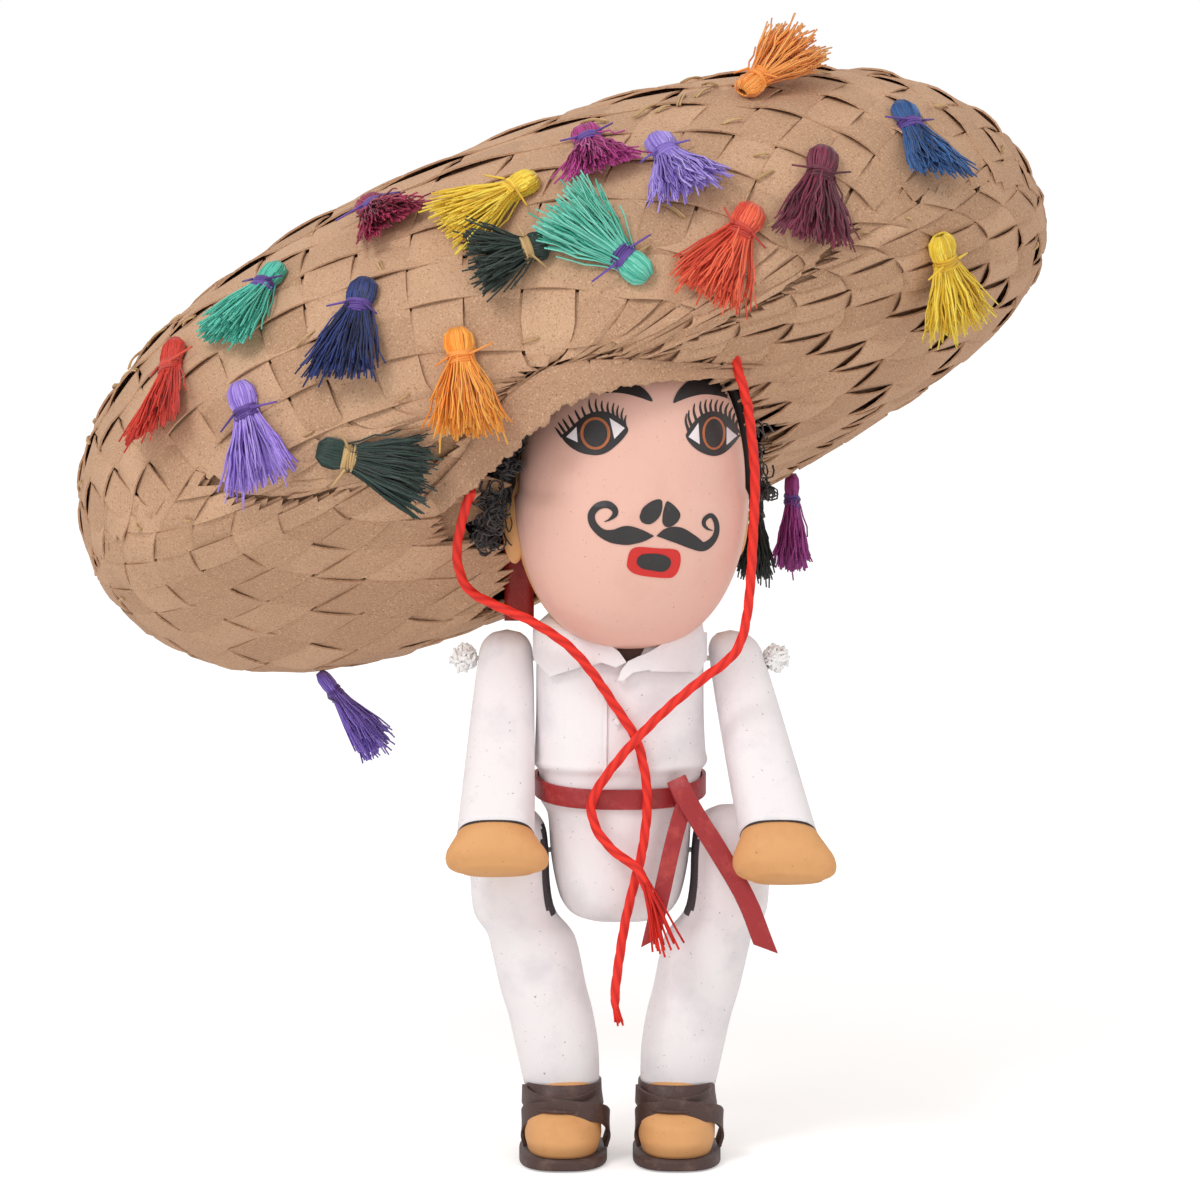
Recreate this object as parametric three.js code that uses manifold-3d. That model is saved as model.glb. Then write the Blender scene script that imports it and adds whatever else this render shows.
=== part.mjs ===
// Jointed papier-mache doll in white cotton clothes under a huge plaited cardboard hat with fibre tassels.
// Millimetres, +Z up. The doll faces -Y, so its left side is at +X. The soles stand on z = 0.
// Everything is drawn about the torso's axis and then moved, so that the origin lies under the middle of the whole.
import * as THREE from 'three';
import { mergeVertices } from 'three/addons/utils/BufferGeometryUtils.js';
import Module from 'manifold-3d';

const wasm = await Module();
wasm.setup();

const ORIGIN_TO_TORSO = new THREE.Vector3(20, -57, 0);

// Clearances
const SEAT_GAP = 0.3; // between pieces that lie on each other
const STRING_GAP = 0.3; // round the strings in their holes

// Joints
const SHOULDER_HEIGHT = 176;
const HIP_HEIGHT = 108;

// Torso, one moulded shirt and pelvis
const TORSO_TOP = SHOULDER_HEIGHT + 16;
const TORSO_BOTTOM = HIP_HEIGHT - 21;
const CHEST_HALF_WIDTH = 30;
const CHEST_HALF_DEPTH = 23;
const PELVIS_HALF_WIDTH = 25;
const PELVIS_HALF_DEPTH = 21;

// Head, moulded in a front and a back half
const HEAD_WIDTH = 82;
const HEAD_DEPTH = 74;
const HEAD_HEIGHT = 112;
const CHIN_HEIGHT = SHOULDER_HEIGHT + 5.5;
const HEAD_FORWARD = 14; // head centre in front of the torso's
const HEAD_SIDE = 3.5; // and to the doll's left
const HEAD_TURN = 13; // degrees towards the doll's left
const HEAD_WALL = 2.6;
const EAR_HEIGHT = 27;
const EAR_BACK = 15.5; // back of the ear behind the joint of the two halves
const HAIR_THICKNESS = 11;
const HAIR_BOTTOM = CHIN_HEIGHT + 44.5;
const NECK_RADIUS = 11;
const NECK_BOTTOM = SHOULDER_HEIGHT + 3;
const CHIN_RECESS = 2.2; // clearance of the shirt's neckline round the chin

// Collar, belt and nape strap
const COLLAR_THICKNESS = 1.8;
const COLLAR_RADIUS = 15; // inside, where it stands
const COLLAR_DEPTH = 11; // from its upper edge to its lower one, without the tips
const COLLAR_TIP = 12; // how much lower the tips hang
const BELT_ABOVE_HIP = 24;
const BELT_MIDDLE = HIP_HEIGHT + BELT_ABOVE_HIP;
const BELT_HEIGHT = 7;
const BELT_THICKNESS = 1.4;
const LEATHER_THICKNESS = 1.2;
const TAIL_WIDTH = 5.2;
const KNOT_WIDTH = 10;

// Arms
const UPPER_ARM_WIDTH = 19;
const CUFF_WIDTH = 27;
const CUFF_ABOVE_HIP = 13;
const SLEEVE_DROP = SHOULDER_HEIGHT - HIP_HEIGHT - CUFF_ABOVE_HIP; // shoulder string to cuff
const ARM_REACH = 27; // how far the cuff stands in front of the shoulder
const HAND_WIDTH = 34;
const HAND_LENGTH = 17;

// Legs
const LEG_WIDTH = 31;
const LEG_DEPTH = 33;
const CUFF_BOTTOM = 30;
const FOOT_SPACING = 40; // between the middles of the feet

// Feet and sandals
const SOLE_THICKNESS = 3.2;
const SOLE_LENGTH = 50;
const SOLE_WIDTH = 31;
const FOOT_WIDTH = 26;
const FOOT_LENGTH = 43;
const STRAP_WIDTH = 6;

// Strings through shoulders and hips
const STRING_DIAMETER = 1.8;
const KNOT_DIAMETER = 8;

// Hat
const HAT_HALF_WIDTH = 182;
const HAT_HALF_DEPTH = 128;
const HAT_CROWN = 87; // widest ring to the top
const HAT_BELLY = 62; // widest ring to the lowest point of the underside, at the back
const HAT_BELLY_LEAN = 0.16; // share that the belly is deeper at the doll's right, and shallower at its left
const HAT_WALL = 2;
const HAT_ROLL = 21.8; // degrees, the doll's left side up
const HAT_PITCH = 14; // degrees, the back down
const HAT_CENTRE = new THREE.Vector3(-18.5, 66, CHIN_HEIGHT + 84.5);
const HAT_MOUTH_HALF_WIDTH = 50;
const HAT_COLUMNS = 60; // facets round, down the crown and on to the mouth
const CROWN_ROWS = 12;
const UNDERSIDE_ROWS = 8;
const PLAIT_RELIEF = 1.2; // how far the strips that lie on top stand out of the crown
const UNDERSIDE_RELIEF = 1.8; // the same under the doll's left, where the strips are bunched

const TASSEL_LENGTH = 40;
const TASSEL_FLUTES = 6;
const TASSEL_FLATNESS = 0.62; // thickness across to width along the hat

// Chin cord
const CORD_DIAMETER = 3.5;
const CORD_STEPS = 34; // along each strand

const COLOURS = {
  cotton: 0xece6e8,
  pink: 0xe9b8a8,
  tan: 0xdba36c,
  hair: 0x1e1a1a,
  neck: 0x4a2c22,
  belt: 0xa5282a,
  ribbon: 0x7c1a1c,
  cord: 0xe0201a,
  sandal: 0x4a3530,
  cardboard: 0xbc9670,
  cardboardEdge: 0xc9a47c,
  string: 0xe6e0da,
};

const group = new THREE.Group();
const degrees = THREE.MathUtils.degToRad;

function bare(geometry) {
  const plain = geometry.index ? geometry.toNonIndexed() : geometry.clone();
  plain.deleteAttribute('normal');
  plain.deleteAttribute('uv');
  return mergeVertices(plain, 1e-4);
}

function solid(geometry) {
  const merged = bare(geometry);
  const triVerts = [];
  for (let i = 0; i < merged.index.count; i += 3) {
    const [a, b, c] = [0, 1, 2].map((k) => merged.index.getX(i + k));
    if (a !== b && b !== c && c !== a) triVerts.push(a, b, c);
  }
  const mesh = new wasm.Mesh({
    numProp: 3,
    vertProperties: new Float32Array(merged.attributes.position.array),
    triVerts: new Uint32Array(triVerts),
  });
  return new wasm.Manifold(mesh);
}

function geometryOf(manifold) {
  const mesh = manifold.getMesh();
  const geometry = new THREE.BufferGeometry();
  geometry.setAttribute('position', new THREE.BufferAttribute(new Float32Array(mesh.vertProperties), 3));
  geometry.setIndex(new THREE.BufferAttribute(new Uint32Array(mesh.triVerts), 1));
  return geometry;
}

function cut(body, ...tools) {
  return tools.reduce((left, tool) => left.subtract(tool), body);
}

function join(first, ...others) {
  return others.reduce((sum, other) => sum.add(other), first);
}

function piece(name, shape, colour, roughness = 0.85) {
  const geometry = shape.isBufferGeometry ? bare(shape) : geometryOf(shape);
  const flat = geometry.toNonIndexed();
  flat.computeVertexNormals();
  flat.translate(ORIGIN_TO_TORSO.x, ORIGIN_TO_TORSO.y, ORIGIN_TO_TORSO.z);
  const mesh = new THREE.Mesh(flat, new THREE.MeshStandardMaterial({ color: colour, roughness, metalness: 0 }));
  mesh.name = name;
  group.add(mesh);
  return mesh;
}

// A closed body from a grid of points: outside(u, v) and inside(u, v), with all four borders stitched.
function shellGeometry(outside, inside, columns, rows, closedRound) {
  const points = [];
  const indices = [];
  const width = columns + 1;
  const sheet = (face) => {
    for (let j = 0; j <= rows; j += 1) {
      for (let i = 0; i <= columns; i += 1) points.push(...face(i / columns, j / rows).toArray());
    }
  };
  sheet(outside);
  sheet(inside);
  const inner = width * (rows + 1);
  const at = (i, j) => j * width + i;
  const quad = (a, b, c, d) => indices.push(a, b, c, a, c, d);
  for (let j = 0; j < rows; j += 1) {
    for (let i = 0; i < columns; i += 1) {
      quad(at(i, j), at(i + 1, j), at(i + 1, j + 1), at(i, j + 1));
      quad(inner + at(i, j), inner + at(i, j + 1), inner + at(i + 1, j + 1), inner + at(i + 1, j));
    }
  }
  for (let i = 0; i < columns; i += 1) {
    quad(at(i + 1, 0), at(i, 0), inner + at(i, 0), inner + at(i + 1, 0));
    quad(at(i, rows), at(i + 1, rows), inner + at(i + 1, rows), inner + at(i, rows));
  }
  if (!closedRound) {
    for (let j = 0; j < rows; j += 1) {
      quad(at(0, j), at(0, j + 1), inner + at(0, j + 1), inner + at(0, j));
      quad(at(columns, j + 1), at(columns, j), inner + at(columns, j), inner + at(columns, j + 1));
    }
  }
  const geometry = new THREE.BufferGeometry();
  geometry.setAttribute('position', new THREE.Float32BufferAttribute(points, 3));
  geometry.setIndex(indices);
  return geometry;
}

function signedPower(value, power) {
  return Math.sign(value) * Math.abs(value) ** power;
}

// A ring of points: a rounded rectangle (superellipse) in the plane through centre.
function ring(centre, halfWidth, halfDepth, squareness, count, tilt = 0) {
  const points = [];
  for (let i = 0; i < count; i += 1) {
    const angle = (i / count) * 2 * Math.PI;
    const x = halfWidth * signedPower(Math.cos(angle), 2 / squareness);
    const y = halfDepth * signedPower(Math.sin(angle), 2 / squareness);
    points.push(new THREE.Vector3(x, y * Math.cos(tilt), y * Math.sin(tilt)).add(centre));
  }
  return points;
}

// A closed body through rings of equal count, each end closed by a fan.
function loft(rings) {
  const count = rings[0].length;
  const points = rings.flat().flatMap((p) => p.toArray());
  const indices = [];
  for (let j = 0; j + 1 < rings.length; j += 1) {
    for (let i = 0; i < count; i += 1) {
      const next = (i + 1) % count;
      const a = j * count + i;
      const b = j * count + next;
      indices.push(a, b, a + count, b, b + count, a + count);
    }
  }
  const fan = (start, sign) => {
    const middle = new THREE.Vector3();
    for (let i = 0; i < count; i += 1) middle.add(new THREE.Vector3().fromArray(points, 3 * (start + i)));
    const centre = points.length / 3;
    points.push(...middle.divideScalar(count).toArray());
    for (let i = 0; i < count; i += 1) {
      const a = start + i;
      const b = start + ((i + 1) % count);
      indices.push(...(sign > 0 ? [a, b, centre] : [b, a, centre]));
    }
  };
  fan(0, -1);
  fan((rings.length - 1) * count, 1);
  const geometry = new THREE.BufferGeometry();
  geometry.setAttribute('position', new THREE.Float32BufferAttribute(points, 3));
  geometry.setIndex(indices);
  return geometry;
}

function cylinderX(radius, from, to, y, z, sides = 12) {
  const geometry = new THREE.CylinderGeometry(radius, radius, to - from, sides);
  geometry.rotateZ(Math.PI / 2);
  geometry.translate((from + to) / 2, y, z);
  return geometry;
}

function box(from, to) {
  const size = new THREE.Vector3().subVectors(to, from);
  const geometry = new THREE.BoxGeometry(size.x, size.y, size.z);
  geometry.translate((from.x + to.x) / 2, (from.y + to.y) / 2, (from.z + to.z) / 2);
  return geometry;
}

// Heights of loose parts as drawn, moved along with the joints and the belt that they lie between
const DRAWN_LEVELS = [
  [0, 0],
  [108, HIP_HEIGHT],
  [132, BELT_MIDDLE],
  [176, SHOULDER_HEIGHT],
];

function follow(height) {
  let k = 0;
  while (k < DRAWN_LEVELS.length - 2 && height > DRAWN_LEVELS[k + 1][0]) k += 1;
  const [[drawnLow, low], [drawnHigh, high]] = [DRAWN_LEVELS[k], DRAWN_LEVELS[k + 1]];
  if (height > drawnHigh) return height - drawnHigh + high;
  return THREE.MathUtils.mapLinear(height, drawnLow, drawnHigh, low, high);
}

// Torso
const beltBottom = BELT_MIDDLE - BELT_HEIGHT / 2;
const beltTop = BELT_MIDDLE + BELT_HEIGHT / 2;
const waistHalfWidth = CHEST_HALF_WIDTH - BELT_THICKNESS;
const waistHalfDepth = CHEST_HALF_DEPTH - BELT_THICKNESS;
const TORSO_SIDES = 28;

function torsoSolid(extra = 0) {
  const shoulder = CHEST_HALF_WIDTH - 2;
  const rows = [
    [TORSO_BOTTOM, 0.5 * PELVIS_HALF_WIDTH, 0.45 * PELVIS_HALF_DEPTH],
    [TORSO_BOTTOM + 3, 0.7 * PELVIS_HALF_WIDTH, 0.72 * PELVIS_HALF_DEPTH],
    [TORSO_BOTTOM + 9, 0.84 * PELVIS_HALF_WIDTH, 0.92 * PELVIS_HALF_DEPTH],
    [HIP_HEIGHT, PELVIS_HALF_WIDTH, PELVIS_HALF_DEPTH],
    [beltBottom - 6, PELVIS_HALF_WIDTH, PELVIS_HALF_DEPTH],
    [beltBottom - 1, waistHalfWidth, waistHalfDepth],
    [beltTop + 1, waistHalfWidth, waistHalfDepth],
    [beltTop + 9, CHEST_HALF_WIDTH + 0.5, CHEST_HALF_DEPTH + 0.8],
    [beltTop + 22, CHEST_HALF_WIDTH, CHEST_HALF_DEPTH],
    [TORSO_TOP - 12, shoulder + 1, CHEST_HALF_DEPTH - 1],
    [TORSO_TOP - 4, shoulder - 1, CHEST_HALF_DEPTH - 5],
    [TORSO_TOP, shoulder - 6, CHEST_HALF_DEPTH - 12],
  ];
  const origin = (z) => new THREE.Vector3(0, 0, z);
  return solid(loft(rows.map(([z, w, d]) => ring(origin(z), w + extra, d + extra, 2.5, TORSO_SIDES))));
}

// Head: an egg, fuller at the cheeks than at the chin. All of it turns about the neck.
const headCentreZ = CHIN_HEIGHT + HEAD_HEIGHT / 2;

function headPoint(longitude, latitude, extra) {
  const up = Math.sin(latitude);
  const out = signedPower(Math.cos(latitude), 0.82);
  const fullness = up < 0 ? 1 : 0.97;
  const x = (HEAD_WIDTH / 2 + extra) * out * fullness * signedPower(Math.cos(longitude), 0.92);
  const y = (HEAD_DEPTH / 2 + extra) * out * fullness * signedPower(Math.sin(longitude), 0.92);
  return new THREE.Vector3(x, y, (HEAD_HEIGHT / 2 + extra) * signedPower(up, 0.96));
}

function placeHead(geometry) {
  geometry.rotateZ(degrees(HEAD_TURN));
  geometry.translate(HEAD_SIDE, -HEAD_FORWARD, headCentreZ);
  return geometry;
}

function headEgg(extra = 0, columns = 26, rows = 15) {
  const rings = [];
  for (let j = 0; j <= rows; j += 1) {
    const latitude = Math.PI * ((j + 0.25) / (rows + 0.5) - 0.5);
    const loop = [];
    for (let i = 0; i < columns; i += 1) loop.push(headPoint((2 * Math.PI * i) / columns, latitude, extra));
    rings.push(loop);
  }
  return solid(placeHead(loft(rings)));
}

function headBox(x0, x1, y0, y1, z0, z1) {
  return solid(placeHead(box(new THREE.Vector3(x0, y0, z0), new THREE.Vector3(x1, y1, z1))));
}

function earSolids(extra) {
  return [-1, 1].map((side) => {
    const lobe = new THREE.SphereGeometry(EAR_HEIGHT / 2, 12, 8);
    lobe.scale(0.3 + 2 * extra / EAR_HEIGHT, 0.5 + 2 * extra / EAR_HEIGHT, 1 + 2 * extra / EAR_HEIGHT);
    lobe.rotateZ(side * degrees(-18));
    lobe.translate(side * (HEAD_WIDTH / 2 - 0.6), 7.5, -1);
    return solid(placeHead(lobe));
  });
}

// Hair round the back of the head, cut out over each ear
function hairSolid(extra) {
  const big = 200;
  const region = headBox(-big, big, 3 - extra, big, HAIR_BOTTOM - extra - headCentreZ, big);
  const aroundEar = headBox(-big, big, -big, EAR_BACK - extra, -big, 0.5 * EAR_HEIGHT - extra);
  return cut(headEgg(HAIR_THICKNESS + extra, 24, 14).intersect(region), aroundEar);
}

function makeHead() {
  const big = 200;
  const hollow = headEgg(-HEAD_WALL, 16, 10);
  const shell = cut(headEgg(), hollow);
  const backHalf = headBox(-big, big, SEAT_GAP / 2, big, -big, big);
  const frontHalf = headBox(-big, big, -big, -SEAT_GAP / 2, -big, big);
  piece('face_shell', shell.intersect(frontHalf), COLOURS.pink, 0.6);
  const back = shell.intersect(backHalf);
  const ears = earSolids(0);
  piece('head_back', cut(join(back, ...ears), headBox(-big, big, -big, SEAT_GAP / 2, -big, big), hollow), COLOURS.tan);
  piece('hair', cut(hairSolid(0), headEgg(SEAT_GAP)), COLOURS.hair, 1);
}

// Neck and shirt
function makeTorso() {
  const neck = new THREE.CylinderGeometry(NECK_RADIUS, NECK_RADIUS + 1, TORSO_TOP + 20 - NECK_BOTTOM, 24);
  neck.rotateX(Math.PI / 2);
  neck.translate(0, -2, (TORSO_TOP + 20 + NECK_BOTTOM) / 2);
  const neckHole = new THREE.CylinderGeometry(
    NECK_RADIUS + SEAT_GAP, NECK_RADIUS + 1 + SEAT_GAP, TORSO_TOP + 20 - NECK_BOTTOM, 24);
  neckHole.rotateX(Math.PI / 2);
  neckHole.translate(0, -2, (TORSO_TOP + 20 + NECK_BOTTOM) / 2 - SEAT_GAP);
  piece('neck', cut(solid(neck), headEgg(SEAT_GAP)), COLOURS.neck);
  const holes = [SHOULDER_HEIGHT, HIP_HEIGHT].map((height) => solid(
    cylinderX(STRING_DIAMETER / 2 + STRING_GAP, -60, 60, 0, height)));
  piece('torso', cut(torsoSolid(), solid(neckHole), headEgg(CHIN_RECESS), ...holes), COLOURS.cotton);
}

// The belt's ring, its knot on the doll's left and two cut tails
function beltOutline(extra) {
  return new THREE.Shape(ring(new THREE.Vector3(), waistHalfWidth + extra, waistHalfDepth + extra, 2.5, 40)
    .map((p) => new THREE.Vector2(p.x, p.y)));
}

function strip(route, width, thickness) {
  const curve = new THREE.CatmullRomCurve3(route);
  const across = (t) => {
    const along = curve.getTangent(t);
    return new THREE.Vector3(-along.z, 0, along.x).normalize();
  };
  const out = (t) => new THREE.Vector3().crossVectors(curve.getTangent(t), across(t)).normalize();
  const face = (level) => (u, v) => curve.getPoint(v)
    .addScaledVector(across(v), (u - 0.5) * width)
    .addScaledVector(out(v), level);
  return shellGeometry(face(-thickness / 2), face(thickness / 2), 1, 8, false);
}

function makeBelt() {
  const outline = beltOutline(SEAT_GAP + BELT_THICKNESS);
  outline.holes.push(new THREE.Path(beltOutline(SEAT_GAP).getPoints().reverse()));
  const band = new THREE.ExtrudeGeometry(outline, { depth: BELT_HEIGHT, bevelEnabled: false });
  band.translate(0, 0, beltBottom);
  piece('belt', band, COLOURS.belt, 0.5);
  const front = -CHEST_HALF_DEPTH;
  const knot = new THREE.SphereGeometry(KNOT_WIDTH / 2, 14, 10);
  knot.scale(1, 0.62, 0.9);
  const knotAt = new THREE.Vector3(21.5, front + 1.2, BELT_MIDDLE);
  const roundKnot = (extra) => {
    const share = 1 + 2 * extra / KNOT_WIDTH;
    return solid(knot.clone().scale(share, share, share).translate(knotAt.x, knotAt.y, knotAt.z));
  };
  const wrapped = solid(new THREE.ExtrudeGeometry(
    beltOutline(2 * SEAT_GAP + BELT_THICKNESS), { depth: 2 * KNOT_WIDTH, bevelEnabled: false })
    .translate(0, 0, knotAt.z - KNOT_WIDTH));
  piece('belt_knot', cut(roundKnot(0), wrapped), COLOURS.belt, 0.5);
  const tails = {
    belt_tail_inner: [
      new THREE.Vector3(knotAt.x, knotAt.y + 0.2, knotAt.z),
      new THREE.Vector3(19, front - 3.5, follow(118)),
      new THREE.Vector3(11, front - 7.5, follow(81)),
    ],
    belt_tail_outer: [
      new THREE.Vector3(knotAt.x, knotAt.y - 2.8, knotAt.z + 1),
      new THREE.Vector3(34, front - 5, follow(115)),
      new THREE.Vector3(50.5, front - 9.5, follow(79)),
    ],
  };
  for (const [name, route] of Object.entries(tails)) {
    const tail = solid(strip(route, TAIL_WIDTH, LEATHER_THICKNESS));
    piece(name, cut(tail, roundKnot(2 * SEAT_GAP), wrapped), COLOURS.belt, 0.5);
  }
}

// Collar: two leaves that stand round the neck and fall to a tip at the front
function makeCollar() {
  const leaf = (side) => {
    const face = (level) => (u, v) => {
      const angle = degrees(-84 + u * 170);
      const tip = Math.exp(-(((u - 0.12) / 0.13) ** 2));
      const radius = COLLAR_RADIUS + v * (COLLAR_DEPTH + 3 * tip) + level;
      const dip = 6 * (1 - v) * Math.exp(-((u / 0.2) ** 2));
      const height = TORSO_TOP + 8 - 3 * Math.cos(angle) - v * (COLLAR_DEPTH + COLLAR_TIP * tip) - dip;
      return new THREE.Vector3(side * radius * Math.cos(angle) * 1.12, radius * Math.sin(angle), height);
    };
    const outer = face(COLLAR_THICKNESS);
    const inner = face(0);
    return side > 0 ? shellGeometry(inner, outer, 16, 4, false) : shellGeometry(outer, inner, 16, 4, false);
  };
  for (const [name, side] of [['collar_right', -1], ['collar_left', 1]]) {
    piece(name, cut(solid(leaf(side)), torsoSolid(SEAT_GAP), headEgg(CHIN_RECESS / 2)), COLOURS.cotton);
  }
}

// Arms: sleeve and hand, swung forward so that the hands lie in front of the thighs
function armSpine(side, splay) {
  const inner = CHEST_HALF_WIDTH + 1.4;
  const x = inner + UPPER_ARM_WIDTH / 2;
  return new THREE.QuadraticBezierCurve3(
    new THREE.Vector3(side * x, 0, SHOULDER_HEIGHT),
    new THREE.Vector3(side * (x + 2 + splay / 2), -0.28 * ARM_REACH, SHOULDER_HEIGHT - 0.52 * SLEEVE_DROP),
    new THREE.Vector3(side * (inner + CUFF_WIDTH / 2 + splay), -ARM_REACH, SHOULDER_HEIGHT - SLEEVE_DROP),
  );
}

function limbRing(centre, along, halfWidth, halfDepth, count = 20) {
  const tilt = Math.atan2(-along.y, -along.z);
  return ring(centre, halfWidth, halfDepth, 2.3, count, -tilt).reverse();
}

function makeArm(name, side, splay) {
  const spine = armSpine(side, splay);
  const start = spine.getTangent(0);
  const rings = [];
  for (const [before, share] of [[10.2, 0.3], [8.6, 0.64], [5, 0.92]]) {
    rings.push(limbRing(spine.getPoint(0).addScaledVector(start, -before), start,
      share * UPPER_ARM_WIDTH / 2, share * 10));
  }
  for (let i = 0; i <= 6; i += 1) {
    const t = i / 6;
    const halfWidth = THREE.MathUtils.lerp(UPPER_ARM_WIDTH, CUFF_WIDTH, t ** 0.8) / 2;
    rings.push(limbRing(spine.getPoint(t), spine.getTangent(t), halfWidth, 10 + 1.5 * t));
  }
  const hole = solid(cylinderX(STRING_DIAMETER / 2 + STRING_GAP, -90, 90, 0, SHOULDER_HEIGHT));
  piece(`${name}_sleeve`, cut(solid(loft(rings)), hole), COLOURS.cotton);
  const end = spine.getTangent(1);
  const from = spine.getPoint(1).addScaledVector(end, SEAT_GAP);
  const profile = [[0, 0.76, 8.6], [0.12, 0.94, 9.8], [0.45, 1, 9.6], [0.8, 0.9, 7.8], [1, 0.55, 4]];
  const hand = profile.map(([share, width, depth]) => limbRing(
    from.clone().addScaledVector(end, share * HAND_LENGTH).add(new THREE.Vector3(side * -1.5 * share, 0, 0)),
    end, width * HAND_WIDTH / 2, depth));
  piece(`${name}_hand`, solid(loft(hand)), COLOURS.tan, 0.7);
}

// Legs: the tops flank the pelvis, below it they close in towards the feet
function makeLeg(name, side) {
  const inner = PELVIS_HALF_WIDTH + 1;
  const top = 0.86 * LEG_WIDTH;
  const rows = [
    [HIP_HEIGHT + 15, inner + top / 2, 0.36, 0.36],
    [HIP_HEIGHT + 13, inner + top / 2, 0.66, 0.66],
    [HIP_HEIGHT + 8, inner + top / 2, 0.82, 0.9],
    [HIP_HEIGHT, inner + top / 2, 0.86, 1],
    [HIP_HEIGHT - 23, inner + top / 2 - 0.5, 0.86, 1],
    [HIP_HEIGHT - 28, 33, 0.97, 1],
    [HIP_HEIGHT - 35, 30, 1, 0.99],
    [HIP_HEIGHT - 49, 27, 0.97, 0.95],
    [CUFF_BOTTOM + 10, 22.5, 0.96, 0.9],
    [CUFF_BOTTOM, FOOT_SPACING / 2 + 1, 0.9, 0.86],
  ];
  const rings = rows.reverse().map(([z, x, width, depth]) => ring(
    new THREE.Vector3(side * x, 0, z), width * LEG_WIDTH / 2, depth * LEG_DEPTH / 2, 2.4, 24));
  const hole = solid(cylinderX(STRING_DIAMETER / 2 + STRING_GAP, -90, 90, 0, HIP_HEIGHT));
  piece(`${name}_leg`, cut(solid(loft(rings)), hole), COLOURS.cotton);
}

// Feet and sandals. The foot's surface is sampled by height and direction, so that the straps follow it.
const FOOT_ROWS = [
  [0, 0.84, 0.88, -9.5],
  [0.18, 0.98, 1, -9.5],
  [0.42, 1, 0.99, -9],
  [0.58, 0.97, 0.84, -6.5],
  [0.72, 0.92, 0.66, -2.6],
  [1, 0.9, 0.58, 0],
];
const footBottom = SOLE_THICKNESS + SEAT_GAP;
const footTop = CUFF_BOTTOM - SEAT_GAP;

function footPoint(height, angle, extra) {
  let j = 0;
  while (j < FOOT_ROWS.length - 2 && height > FOOT_ROWS[j + 1][0]) j += 1;
  const [low, high] = [FOOT_ROWS[j], FOOT_ROWS[j + 1]];
  const share = (height - low[0]) / (high[0] - low[0]);
  const [, width, length, back] = low.map((value, k) => THREE.MathUtils.lerp(value, high[k], share));
  const halfWidth = width * FOOT_WIDTH / 2 + extra;
  const halfLength = length * FOOT_LENGTH / 2 + extra;
  return new THREE.Vector3(
    halfWidth * signedPower(Math.cos(angle), 0.86),
    back + halfLength * signedPower(Math.sin(angle), 0.86),
    THREE.MathUtils.lerp(footBottom, footTop, height),
  );
}

function makeFoot(name, side) {
  const place = (geometry) => geometry.translate(side * FOOT_SPACING / 2, 0, 0);
  const rings = FOOT_ROWS.map(([height]) => {
    const loop = [];
    for (let i = 0; i < 24; i += 1) loop.push(footPoint(height, (2 * Math.PI * i) / 24, 0));
    return loop;
  });
  piece(`${name}_foot`, solid(place(loft(rings))), COLOURS.tan, 0.7);
  const outline = new THREE.Shape(ring(new THREE.Vector3(0, -8.5, 0), SOLE_WIDTH / 2, SOLE_LENGTH / 2, 2.7, 32)
    .map((p) => new THREE.Vector2(p.x, p.y)));
  const sole = new THREE.ExtrudeGeometry(outline, { depth: SOLE_THICKNESS, bevelEnabled: false });
  piece(`${name}_sole`, place(sole), COLOURS.sandal, 0.6);
  const strap = (route, width, low, closed, mirrored = false) => {
    const face = (extra) => (u, v) => {
      const [height, angle] = route(mirrored ? 1 - u : u);
      return footPoint(height + (v - 0.5) * width, angle, extra);
    };
    return solid(place(shellGeometry(face(low + LEATHER_THICKNESS), face(low), closed ? 24 : 12, 2, closed)));
  };
  const strapShare = STRAP_WIDTH / (footTop - footBottom);
  const ankle = strap((u) => [0.84, 2 * Math.PI * u], strapShare * 1.15, SEAT_GAP, true);
  piece(`${name}_ankle_strap`, ankle, COLOURS.sandal, 0.6);
  const crossing = (turn, low) => strap(
    (u) => [0.16 + 0.42 * u, degrees(turn * (-155 + 130 * u) + (turn < 0 ? 180 : 0))],
    strapShare, low, false, turn < 0);
  const first = crossing(1, 4 * SEAT_GAP);
  const second = crossing(-1, 6 * SEAT_GAP + LEATHER_THICKNESS);
  piece(`${name}_lower_strap`, first, COLOURS.sandal, 0.6);
  piece(`${name}_upper_strap`, second, COLOURS.sandal, 0.6);
}

// Strings: each runs through the body and both limbs and is knotted outside them
function makeString(name, height, reach) {
  const knots = [-1, 1].map((side) => solid(new THREE.SphereGeometry(KNOT_DIAMETER / 2, 12, 8)
    .scale(0.8, 1, 1).translate(side * (reach + SEAT_GAP + 0.4 * KNOT_DIAMETER), 0, height)));
  const string = solid(cylinderX(STRING_DIAMETER / 2, -reach - 2, reach + 2, 0, height, 10));
  piece(name, join(string, ...knots), COLOURS.string, 1);
}

// Hat: crown from the top to the widest ring (rise 0 to 1), then the underside to the mouth (1 to 2)
const hatTurn = new THREE.Matrix4()
  .makeRotationY(-degrees(HAT_ROLL))
  .multiply(new THREE.Matrix4().makeRotationX(-degrees(HAT_PITCH)));

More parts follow.
